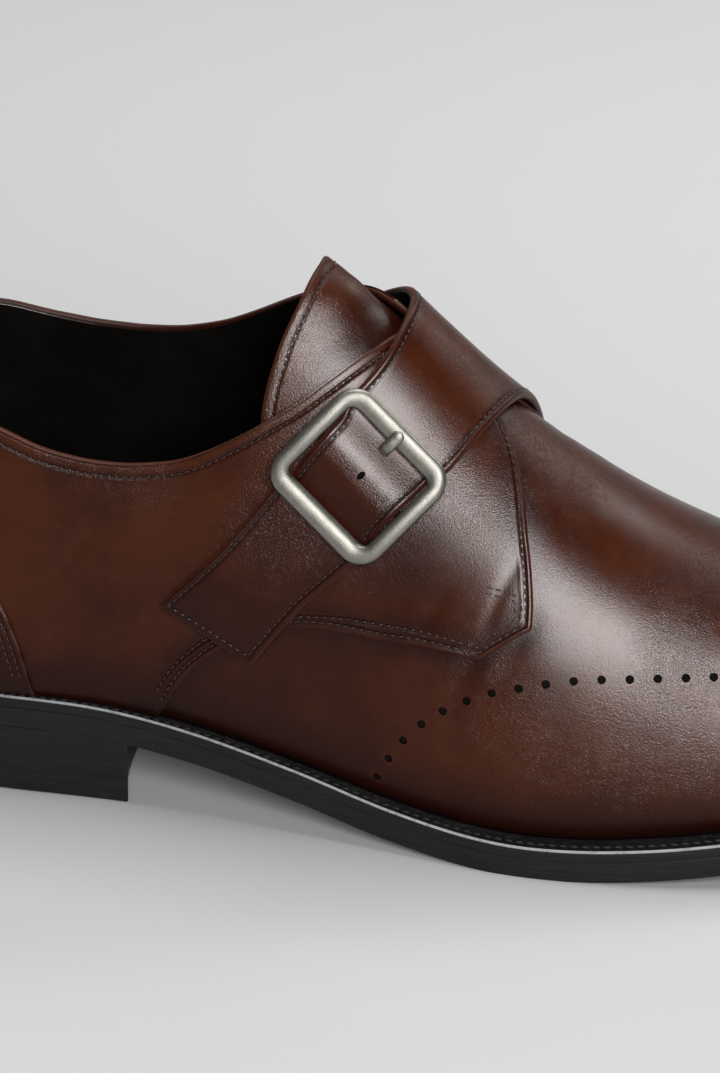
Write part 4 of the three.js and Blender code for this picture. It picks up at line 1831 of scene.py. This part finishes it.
class Stitching:
    """Where the upper's seams run, as points and outward directions."""

    rows_inside = (1.8, 3.8)
    turn_back = (
        (0.4533, 0.220), (0.4763, 0.247), (0.4992, 0.272), (0.5223, 0.296), (0.5398, 0.309),
        (0.5573, 0.321), (0.5684, 0.355), (0.5785, 0.392), (0.5796, 0.421), (0.5792, 0.443),
        (0.5765, 0.449), (0.5681, 0.444), (0.5593, 0.436),
    )

    @staticmethod
    def along(turn: Array, rise: Array, by: float, out: float) -> tuple:
        """A seam beside a line on the skin.

        Args:
            turn: Turns of the line.
            rise: Rises of the line.
            by: Sideways distance, mm.
            out: Height over the skin, mm.

        Returns:
            Points and outward directions.
        """
        t, r = LAST.inset(turn, rise, by)
        return LAST.on(t, r, out), LAST.normal(t, r)

    @classmethod
    def quarter_rows(cls, side: Side, out: float) -> list[tuple]:
        """The rows inside the quarter's edge.

        Args:
            side: The shoe's side.
            out: Height over the skin, mm.

        Returns:
            The rows: the outer one, the inner one and the end that turns back.
        """
        into = -side.value
        low = Panels.quarter_line(side, 0.03, 0.19)
        t, r = LAST.inset(*low, into * 3.8)
        at = np.concatenate([1 - np.abs(t[3:-3]), [row[0] for row in cls.turn_back]])
        rise = np.concatenate([r[3:-3], [row[1] for row in cls.turn_back]])
        inner = evenly(side.value * (1 - at), rise, 0.5)
        tail = [line[inner[1] > 0.335] for line in inner]
        whole = Panels.quarter_line(side, 0.03, 0.95)
        return [
            cls.along(*whole, into * 1.7, out),
            cls.along(*inner, 0.0, out),
            cls.along(*tail, into * 1.5, out),
        ]

    @classmethod
    def collar_row(cls, side: Side, out: float) -> tuple:
        """The row under the collar's folded edge.

        Args:
            side: The shoe's side.
            out: Height over the skin, mm.

        Returns:
            Its points and outward directions.
        """
        at = np.linspace(0.0, 0.485, 160)
        turn = side.value * (1 - at)
        turn, rise = evenly(turn, LAST.top(turn))
        return cls.along(turn, rise, side.value * 2.9, out)

    @classmethod
    def counter_rows(cls, out: float) -> list[tuple]:
        """Two rows inside the counter's edge on each side.

        Args:
            out: Height over the skin, mm.

        Returns:
            The rows.
        """
        rows = []
        for side in Side:
            rise = Panels.counter_height * np.sin(np.linspace(0.12, np.pi / 2, 80))
            t, r = evenly(side.value * (1 - Panels.counter(rise)), rise)
            rows += [cls.along(t, r, -side.value * by, out) for by in cls.rows_inside]
        return rows

    @classmethod
    def back_seam(cls, out: float) -> list[tuple]:
        """Two rows beside the seam up the heel's back.

        Args:
            out: Height over the skin, mm.

        Returns:
            The rows.
        """
        rise = np.linspace(0.26, 0.35, 40)
        middle = evenly(np.ones_like(rise), rise)
        return [cls.along(*middle, side.value * 1.4, out) for side in Side]


@dataclass
class Seams:
    """All thread on the upper."""

    thread: Finish
    pitch: float = 2.0
    length: float = 1.5
    width: float = 0.54

    def row(self, name: str, rows: list[tuple]) -> Piece:
        """One object of stitches along several lines.

        Args:
            name: Its name.
            rows: Points and outward directions of each line.

        Returns:
            The object.
        """
        return row_of(
            name, "stitch", [r[0] for r in rows], [r[1] for r in rows], self.thread,
            self.pitch, self.length, self.width, 0.10,
        )

    def build(self, quarters: float, counter: float) -> list[Piece]:
        """The seams of the quarters, collar, counter and back.

        Args:
            quarters: Height of the quarters' thread over the skin, mm.
            counter: Height of the counter's thread, mm.

        Returns:
            The objects.
        """
        made = []
        for side in Side:
            label = side.name.lower()
            rows = Stitching.quarter_rows(side, quarters)
            rows.append(Stitching.collar_row(side, quarters))
            made.append(self.row("quarter_stitches_" + label, rows))
        made.append(self.row("counter_stitches", Stitching.counter_rows(counter)))
        made.append(self.row("back_stitches", Stitching.back_seam(quarters + 0.05)))
        return made

    def strap(self, strap: Strap) -> Piece:
        """The rows inside both edges of the strap and round its tip.

        Args:
            strap: The strap that it is sewn into.

        Returns:
            The object.
        """
        inset = strap.stitch_inset
        run = np.linspace(strap.tip, 1, 200)
        back, ends, front = (strap.surface(run, np.full(200, s), np.zeros(200)) for s in (0.0, 0.5, 1.0))
        wide = np.linalg.norm(back - front, axis=-1)
        start = np.interp(inset, run_length(ends), run)
        share = inset / wide
        first = np.interp(start, run, share)
        tip = np.linspace(first, 1 - first, 40)
        run, share = run[run >= start], share[run >= start]
        along = np.concatenate([run[::-1], np.full_like(tip, start), run])
        across = np.concatenate([share[::-1], tip, 1 - share])
        over = np.full(along.shape, strap.thickness - 0.04)
        points = strap.surface(along, across, over)
        turn, rise = strap.spot(along, across)
        return self.row("strap_stitches", [(points, LAST.normal(turn, rise))])

    def tongue(self, tongue: Tongue) -> Piece:
        """The row inside the tongue's free edge.

        Args:
            tongue: The tongue that it is sewn into.

        Returns:
            The object.
        """
        count = 160
        across = np.linspace(-0.93, 0.93, count)
        zero = np.zeros(count)
        start = tongue.surface(zero, across, zero)
        ahead = tongue.surface(zero + 0.03, across, zero)
        length = 0.03 * tongue.stitch_inset / np.linalg.norm(ahead - start, axis=-1)
        turn, rise = tongue.at(length, across)
        points = tongue.surface(length, across, np.full(count, tongue.stitch_depth))
        facing = LAST.normal(LAST.one_side(turn, rise), rise)
        return self.row("tongue_stitches", [(points, facing)])


@dataclass
class SoleLayer:
    """A layer of the sole's outline, from its edge profile and the heights it lies between."""

    name: str
    material: Finish
    top: Callable[[Array], Array]
    bottom: Callable[[Array], Array]
    out: Callable[[Array], Array]
    rounding: float = 0.5
    stations: int = 200

    def build(self) -> Piece:
        """Builds the layer as a closed solid.

        Returns:
            The piece.
        """
        at = (1 - np.cos(np.linspace(0, np.pi, self.stations))) / 2
        at[0], at[-1] = 1e-4, 1 - 1e-4
        ring = []
        corner = np.linspace(0, np.pi / 2, 6)
        for sign in (-1, 1):
            turn = sign * (1 - at)
            edge = LAST.outline(turn, self.out(at))
            low = self.bottom(edge[:, 0])
            high = self.top(edge[:, 0])
            part = []
            for level, way, angles in ((low, 1, corner), (high, -1, corner[::-1])):
                for angle in angles:
                    plan = LAST.outline(turn, self.out(at) - self.rounding * (1 - np.sin(angle)))
                    height = level + way * self.rounding * (1 - np.cos(angle))
                    part.append(np.column_stack([plan, height]))
            ring.append(part)
        outer, inner = ring
        across = np.linspace(0, 1, 17)[1:-1]
        top = [outer[-1] * (1 - s) + inner[-1] * s for s in across]
        bottom = [inner[0] * (1 - s) + outer[0] * s for s in across]
        loop = np.array(outer + top + inner[::-1] + bottom)
        faces = grid_faces(loop.shape[0], loop.shape[1], around=True)
        return mesh_object(self.name, loop, faces, self.material)


@dataclass
class Sole:
    """Welt, outsole, heel block and insole."""

    dressing: Finish
    lining: Finish
    thread: Finish
    welt_width: float = 13.0
    welt_thickness: float = 3.0
    welt_points: int = 400
    rough_rows: tuple[int, int] = (1, 7)
    polished_sheen_rows: tuple[int, int] = (10, 12)
    layer_gap: float = 0.02
    insole_top: float = 2.7
    insole_inset: float = 2.1
    heel_length: float = 74.0
    heel_points: int = 360
    breast_hollow: float = 4.0
    heel_taper: float = 1.2
    lift_lines: tuple[float, float] = (0.33, 0.64)
    stitch_pitch: float = 2.7
    stitched_to: float = 0.86

    def outsole_bottom(self, x: Array) -> Array:
        """Height of the outsole's underside."""
        return np.maximum(LAST.feather_height(x) - LAST.sole, 0)

    def outsole(self) -> Piece:
        """Builds the outsole's plate.

        Returns:
            The piece.
        """
        low = self.welt_thickness + self.layer_gap
        return SoleLayer(
            "outsole_edge", self.dressing, lambda x: LAST.feather_height(x) - low,
            self.outsole_bottom, LAST.reach, 0.16,
        ).build()

    def insole(self) -> Piece:
        """Builds the insole inside the shoe.

        Returns:
            The piece.
        """
        return SoleLayer(
            "insole_sock", self.lining, lambda x: LAST.feather_height(x) + self.insole_top,
            lambda x: LAST.feather_height(x) + LAST.gap,
            lambda at: np.full_like(at, -self.insole_inset), 0.4,
        ).build()

    def welt(self) -> Piece:
        """Builds the welt: a stitched channel between the upper and a proud rim.

        Returns:
            The piece.
        """
        turn = round_turns(self.welt_points)
        reach = LAST.reach(1 - np.abs(turn))
        # The channel is measured from the feather edge, and the rim from the welt's own edge.
        channel = ((-3.0, 0.0), (-0.5, -0.05), (0.3, -0.45), (1.0, -0.62))
        rim = (
            (-1.35, -0.62), (-1.1, -0.45), (-0.9, -0.08), (-0.75, 0.0), (-0.62, 0.0),
            (-0.56, -0.02), (-0.1, -0.42), (-0.04, -0.50), (0.0, -0.60), (0.0, -1.5),
            (0.0, -2.84), (-0.05, -2.95), (-0.16, -3.0),
        )
        rows = [(reach - self.welt_width, 0.0)]
        rows += [(np.full_like(reach, o), z) for o, z in channel]
        rows += [(reach + o, z) for o, z in rim]
        rows += [(reach - self.welt_width, -self.welt_thickness)]
        points = []
        for out, z in rows:
            plan = LAST.outline(turn, out)
            height = LAST.feather_height(plan[:, 0])
            points.append(np.column_stack([plan, height + z]))
        loop = np.array(points)
        faces = sleeve_faces(len(loop), loop.shape[1], True)
        shade = np.zeros(loop.shape[:2])
        shade[slice(*self.rough_rows)] = 1.0
        # Painted highlight, with polish, along the rim's top corner.
        edge = np.zeros(loop.shape[:2])
        edge[slice(*self.polished_sheen_rows)] = 1.0
        return mesh_object("welt_rim", loop, faces, self.dressing, shade=shade, edge=edge)

    def welt_stitches(self) -> Piece:
        """Sets the thread in the welt's channel.

        Returns:
            The object.
        """
        turn = round_turns(900)
        turn = turn[np.abs(turn) < self.stitched_to]
        reach = LAST.reach(1 - np.abs(turn))
        plan = LAST.outline(turn, (reach - 0.6) / 2 + 0.1)
        line = np.column_stack([plan, LAST.feather_height(plan[:, 0]) - 0.35])
        facing = np.tile([0.0, 0.0, 1.0], (len(line), 1))
        return row_of(
            "welt_stitches", "stitch", line, facing, self.thread, self.stitch_pitch, 2.3, 0.8, 0.15
        )

    def heel(self) -> Piece:
        """Builds the heel block with its concave front and faint lift lines.

        Returns:
            The piece.
        """
        radius = LAST.heel_width**2 / (8 * self.breast_hollow) + 2
        centre = self.heel_length - self.breast_hollow + radius
        rings = []
        for share, inset in self.heel_levels():
            turn = np.linspace(-1.0, -0.45, 160)
            side = []
            for sign in (1, -1):
                t = turn * sign
                out = LAST.reach(1 - np.abs(t)) - self.heel_taper * (1 - share) - inset
                plan = LAST.outline(t, out)
                front = centre - np.sqrt(radius**2 - plan[:, 1] ** 2) - inset
                side.append(plan[plan[:, 0] < front])
            a, b = side[0][-1], side[1][-1]
            y = np.linspace(a[1], b[1], 40)
            arc = np.column_stack([centre - np.sqrt(radius**2 - y**2) - inset, y])
            loop = np.concatenate([side[0], arc, side[1][::-1][:-1]])
            closed = np.concatenate([loop, loop[:1]])
            run = run_length(closed)
            even = np.linspace(0, run[-1], self.heel_points + 1)[:-1]
            x = np.interp(even, run, closed[:, 0])
            y = np.interp(even, run, closed[:, 1])
            top = self.outsole_bottom(x) - self.layer_gap
            rings.append(np.column_stack([x, y, top * share]))
        grid = np.array(rings)
        faces = sleeve_faces(len(grid), self.heel_points, False)
        return mesh_object("heel_block", grid, faces, self.dressing)

    def heel_levels(self) -> list[tuple[float, float]]:
        """Profile of the heel's side, with its lift lines.

        Returns:
            A share of the heel's height and an inset in mm for each ring.
        """
        rows = [(0.0, 0.9), (0.012, 0.35), (0.035, 0.08), (0.06, 0.0)]
        for line in self.lift_lines:
            rows += [(line - 0.02, 0.0), (line, 0.05), (line + 0.02, 0.0)]
        return rows + [(0.98, 0.0), (0.992, 0.03), (1.0, 0.15)]


@dataclass
class Buckle:
    """The frame, its pin and the prong, in the seat that the strap gives."""

    metal: Finish
    # Near-black copy of the nickel for the pin: painted shade where it runs under the frame.
    shade_metal: Finish
    strap: Strap
    along: float = 33.0
    across: float = 35.0
    corner: float = 7.0
    end_width: float = 5.2
    side_width: float = 4.2
    bar: float = 3.0
    bow_radius: float = 110.0
    gap: float = 0.3
    pin_radius: float = 0.8
    pin_level: float = 1.1
    prong_slot: float = 8.4
    prong_width: float = 3.0
    prong_thickness: float = 1.5

    @property
    def level(self) -> float:
        """Height of the frame's middle over the seat."""
        return self.strap.thickness + 2 * self.gap + self.bar / 2

    @staticmethod
    def rounded(value: Array) -> Array:
        """A circle's coordinate, slightly squared."""
        return np.sign(value) * np.abs(value) ** 0.9

    def bend(self, u: float) -> float:
        """Drop of the frame at a distance along the strap."""
        return u * u / (2 * self.bow_radius)

    def into_last(self, local: Array) -> Array:
        """Points of the buckle's frame in the last's."""
        origin, u, v, n = self.strap.seat()
        return origin + local[..., :1] * u + local[..., 1:2] * v + local[..., 2:] * n

    def tube(
        self, name: str, path: list[tuple], height: float, closed: bool, sides: int = 28
    ) -> Piece:
        """A rounded bar along a path.

        Args:
            name: The object's name.
            path: Centre, side direction, up direction and width of each section.
            height: Thickness of the bar.
            closed: Whether the path joins its own start.
            sides: Points round each section.

        Returns:
            The bar.
        """
        angle = 2 * np.pi * (np.arange(sides) + 0.5) / sides
        rings = []
        for centre, side, up, width in path:
            a = (width / 2 * self.rounded(np.cos(angle)))[:, None]
            b = (height / 2 * self.rounded(np.sin(angle)))[:, None]
            rings.append(np.asarray(centre) + a * np.asarray(side) + b * np.asarray(up))
        grid = np.array(rings)
        faces = sleeve_faces(len(grid), sides, closed)
        # Painted shade on the lower side of each section.
        low = smoothstep(-grid[..., 2] + grid[..., 2].mean(axis=1, keepdims=True), 0.2, 1.4)
        return mesh_object(name, self.into_last(grid), faces, self.metal, shade=low)

    def frame(self) -> Piece:
        """Builds the frame with its rounded corners.

        Returns:
            The piece.
        """
        half_u = (self.along - self.end_width) / 2
        half_v = (self.across - self.side_width) / 2
        corner = self.corner - self.end_width / 2
        corners = []
        for quarter, signs in enumerate(((1, 1), (-1, 1), (-1, -1), (1, -1))):
            angle = math.pi / 2 * (quarter + np.arange(15) / 14)
            out = np.column_stack([np.cos(angle), np.sin(angle)])
            middle = np.array(signs) * (half_u - corner, half_v - corner)
            corners.append(np.column_stack([middle + corner * out, out]))
        path = []
        for here, there in zip(corners, corners[1:] + corners[:1]):
            straight = np.linspace(here[-1], there[0], 12)[1:-1]
            path += [self.section(*spot) for spot in np.concatenate([here, straight])]
        return self.tube("buckle_rim", path, self.bar, True)

    def section(self, u: float, v: float, ox: float, oy: float) -> tuple:
        """One section of the frame.

        Args:
            u: Place along the strap, mm.
            v: Place across it, mm.
            ox: Outward direction along the strap.
            oy: Outward direction across it.

        Returns:
            Its centre, inward direction, up direction and width.
        """
        up = unit(np.array([u / self.bow_radius, 0, 1.0]))
        width = self.side_width + (self.end_width - self.side_width) * ox**2
        centre = (u, v, self.level - self.bend(u))
        return centre, (-ox, -oy, 0.0), up, width

    def pin(self) -> Piece:
        """Builds the pin across the frame, with its two posts.

        Returns:
            The piece.
        """
        half_v = (self.across - self.side_width) / 2
        end = half_v + 0.5
        down = [(0.0, -end, self.level - 0.6), (0.0, -end, self.pin_level + 0.5)]
        down += [(0.0, -end + 0.15, self.pin_level + 0.15), (0.0, -end + 0.5, self.pin_level)]
        path = down + [(x, -y, z) for x, y, z in down[::-1]]
        centres = np.array(path)
        run = unit(np.gradient(centres, axis=0))
        across = np.array([1.0, 0.0, 0.0])
        sections = [(c, across, np.cross(r, across), 2 * self.pin_radius) for c, r in zip(centres, run)]
        made = self.tube("buckle_pin", sections, 2 * self.pin_radius, False, 16)
        # The pin takes the darker copy of the nickel as painted shade.
        made.data.materials[0] = self.shade_metal
        return made

    def prong(self) -> Piece:
        """Builds the prong, up through the slot and over the end bar.

        Returns:
            The piece.
        """
        bar_u = (self.along - self.end_width) / 2
        rest = self.level + self.bar / 2 + self.gap + self.prong_thickness / 2 - self.bend(bar_u)
        slot = self.prong_slot
        keys = np.array(
            [
                (self.pin_radius + self.gap, self.pin_level), (slot - 1.2, self.pin_level + 0.2),
                (slot - 0.4, self.pin_level + 1), (slot + 0.7, rest - 1.6), (slot + 2, rest - 0.4),
                (bar_u - 1.0, rest), (bar_u + 0.6, rest), (bar_u + 1.3, rest - 0.2),
            ]
        )
        run = run_length(keys)
        fine = np.linspace(0, run[-1], 60)
        u = Track(tuple(zip(run, keys[:, 0])))(fine)
        level = Track(tuple(zip(run, keys[:, 1])))(fine)
        lean = unit(np.gradient(np.column_stack([u, level]), axis=0))
        tip = np.sqrt(np.clip(1 - ((fine - run[-1] + 1.3) / 1.3).clip(0, 1) ** 2, 0.02, 1))
        path = [
            ((a, 0.0, b), (0.0, 1.0, 0.0), (-l[1], 0.0, l[0]), self.prong_width * w)
            for a, b, l, w in zip(u, level, lean, tip)
        ]
        return self.tube("prong", path, self.prong_thickness, False, 20)


@dataclass
class Studio:
    """Pale floor curving up behind, soft lights and the camera, in millimetres and degrees."""

    azimuth: float = 11.8
    elevation: float = 23.9
    distance: float = 1100.0
    look: tuple[float, float, float] = (130.0, -10.0, 69.0)
    pixels_per_mm: float = 4.04
    photo_height: int = 1073

    def floor(self) -> Piece:
        """Builds the sweep of pale paper.

        Returns:
            The floor.
        """
        t = Tree("paper")
        cloud = t.noise(9.0, 3.0)
        colour = t.mix(cloud, (0.57, 0.57, 0.57, 1), (0.60, 0.60, 0.60, 1))
        # Painted light: the paper is lighter further back.
        depth = t.node("ShaderNodeSeparateXYZ", (t.position(),), "Y")
        colour = t.mix(depth.band(0.05, 0.55), colour, (0.66, 0.66, 0.66, 1))
        paper = t.surface(
            Base_Color=colour, Roughness=0.85, Normal=t.bump(t.noise(700.0, 3.0), 0.15, 0.0001)
        )
        bow = [(-3000, 0)] + [
            (1000 + 700 * math.sin(a), 700 - 700 * math.cos(a)) for a in np.linspace(0, np.pi / 2, 24)
        ]
        bow.append((1700, 3000))
        points = [(x, y, z) for y, z in bow for x in (-3500, 3500)]
        faces = [[2 * i, 2 * i + 1, 2 * i + 3, 2 * i + 2] for i in range(len(bow) - 1)]
        mesh = bpy.data.meshes.new("floor")
        mesh.from_pydata([(x * MM, y * MM, z * MM) for x, y, z in points], [], faces)
        mesh.materials.append(paper)
        for face in mesh.polygons:
            face.use_smooth = True
        made = bpy.data.objects.new("floor", mesh)
        bpy.context.scene.collection.objects.link(made)
        return made

    def area(
        self, name: str, at: tuple, aim: tuple, size: tuple, power: float, colour: tuple
    ) -> Piece:
        """One softbox.

        Args:
            name: Its name.
            at: Its place in metres.
            aim: The point it faces.
            size: Its sides in metres.
            power: Its power in watts.
            colour: Its colour.

        Returns:
            The light.
        """
        data = bpy.data.lights.new(name, "AREA")
        data.shape = "RECTANGLE"
        data.size, data.size_y = size
        data.energy = power
        data.color = colour
        made = bpy.data.objects.new(name, data)
        way = Vector(aim) - Vector(at)
        made.matrix_world = Matrix.Translation(at) @ way.to_track_quat("-Z", "Y").to_matrix().to_4x4()
        bpy.context.scene.collection.objects.link(made)
        return made

    def lights(self) -> None:
        """A dim room, softboxes in front, overhead and behind, and one that only glosses the leather."""
        world = bpy.data.worlds.new("room")
        world.use_nodes = True
        room = world.node_tree.nodes["Background"].inputs
        room["Color"].default_value = (0.96, 0.98, 1.0, 1)
        room["Strength"].default_value = 0.10
        bpy.context.scene.world = world
        bpy.context.scene.view_settings.view_transform = "Standard"
        sheen = self.area(
            "sheen", (0.46, -1.22, 0.70), (0.03, 0, 0.05), (0.80, 0.80), 56.0, (1.0, 1.0, 1.0)
        )
        sheen.visible_diffuse = False
        shown = bpy.data.collections.new("glossy_leather")
        for piece in bpy.context.scene.objects:
            finishes = piece.data.materials if piece.type == "MESH" else []
            if any(slot and slot.name == "burnished_leather" for slot in finishes):
                shown.objects.link(piece)
        sheen.light_linking.receiver_collection = shown
        for name, at, aim, size, power, colour in (
            ("front", (0.46, -1.22, 0.73), (0.03, 0, 0.05), (0.60, 0.70), 17.5, (1.0, 0.985, 0.97)),
            ("top", (0.0, 0.32, 1.75), (0.0, 0.05, 0.0), (1.2, 1.2), 19.5, (0.98, 0.99, 1.0)),
            ("back", (0.87, 0.87, 1.03), (0.05, 0, 0.08), (0.45, 0.45), 6.0, (1.0, 0.98, 0.96)),
        ):
            self.area(name, at, aim, size, power, colour)

    def camera(self) -> Piece:
        """Sets up the camera at the photograph's angle.

        Returns:
            The camera.
        """
        az, el = math.radians(self.azimuth), math.radians(self.elevation)
        back = Vector((math.sin(az) * math.cos(el), -math.cos(az) * math.cos(el), math.sin(el)))
        look = Vector(place(np.array(self.look)))
        data = bpy.data.cameras.new("camera")
        data.sensor_width = 36.0
        data.lens = data.sensor_width * self.distance / (self.photo_height / self.pixels_per_mm)
        data.clip_end = 30.0
        made = bpy.data.objects.new("camera", data)
        at = look + back * self.distance * MM
        turn = back.to_track_quat("Z", "Y").to_matrix().to_4x4()
        made.matrix_world = Matrix.Translation(at) @ turn
        bpy.context.scene.collection.objects.link(made)
        bpy.context.scene.camera = made
        return made


def settle(piece: Piece, slot: str, *nodes: str) -> None:
    """Hands a finished piece to the frame and reports it.

    Args:
        piece: The piece.
        slot: The record's finish slot.
        *nodes: CAD nodes it stands for.
    """
    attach(piece, "root")
    if nodes:
        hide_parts(*nodes)
    log.info("%s: %d faces, slot %s", piece.name, len(piece.data.polygons), slot)


def main() -> None:
    logging.basicConfig(level=logging.INFO, format="%(name)s: %(message)s")
    studio = Studio()
    studio.camera()
    leather = Leather("burnished_leather").build()
    lining = Lining("lining_leather").build()
    dressing = EdgeDressing("edge_dressing").build()
    metal = Nickel("antiqued_nickel").build()
    shade_metal = Nickel("painted_shade_nickel", (0.004, 0.003, 0.002, 1), (0.02, 0.012, 0.009, 1)).build()
    thread = Thread("brown_thread").build()
    welt_thread = Thread("black_thread", (0.008, 0.007, 0.006, 1), 0.7).build()

    settle(Vamp(leather, lining).build(), "upper_leather", "upper")
    for side in Side:
        settle(Quarter(side, leather).build(), "upper_leather", "upper")
    settle(Counter(leather).build(), "upper_leather", "upper")
    settle(Collar(leather).build(), "upper_leather", "upper")
    settle(InnerLining(lining).build(), "lining", "upper")

    tongue = Tongue(leather)
    settle(tongue.build(), "upper_leather", "tongue")
    strap = Strap(leather, lining)
    settle(strap.build(), "upper_leather", "strap")

    seams = Seams(thread)
    for piece in seams.build(quarters=1.24, counter=2.18):
        settle(piece, "upper_leather")
    settle(seams.strap(strap), "upper_leather")
    settle(seams.tongue(tongue), "upper_leather")

    buckle = Buckle(metal, shade_metal, strap)
    settle(buckle.frame(), "buckle", "buckle_frame")
    settle(buckle.pin(), "buckle", "buckle_frame")
    settle(buckle.prong(), "buckle", "buckle_prong")

    sole = Sole(dressing, lining, welt_thread)
    settle(sole.outsole(), "sole_edge", "outsole")
    settle(sole.welt(), "sole_edge", "welt")
    settle(sole.welt_stitches(), "sole_edge")
    settle(sole.heel(), "sole_edge", "heel")
    settle(sole.insole(), "lining", "insole")

    studio.floor()
    studio.lights()


if __name__ == "__main__":
    main()
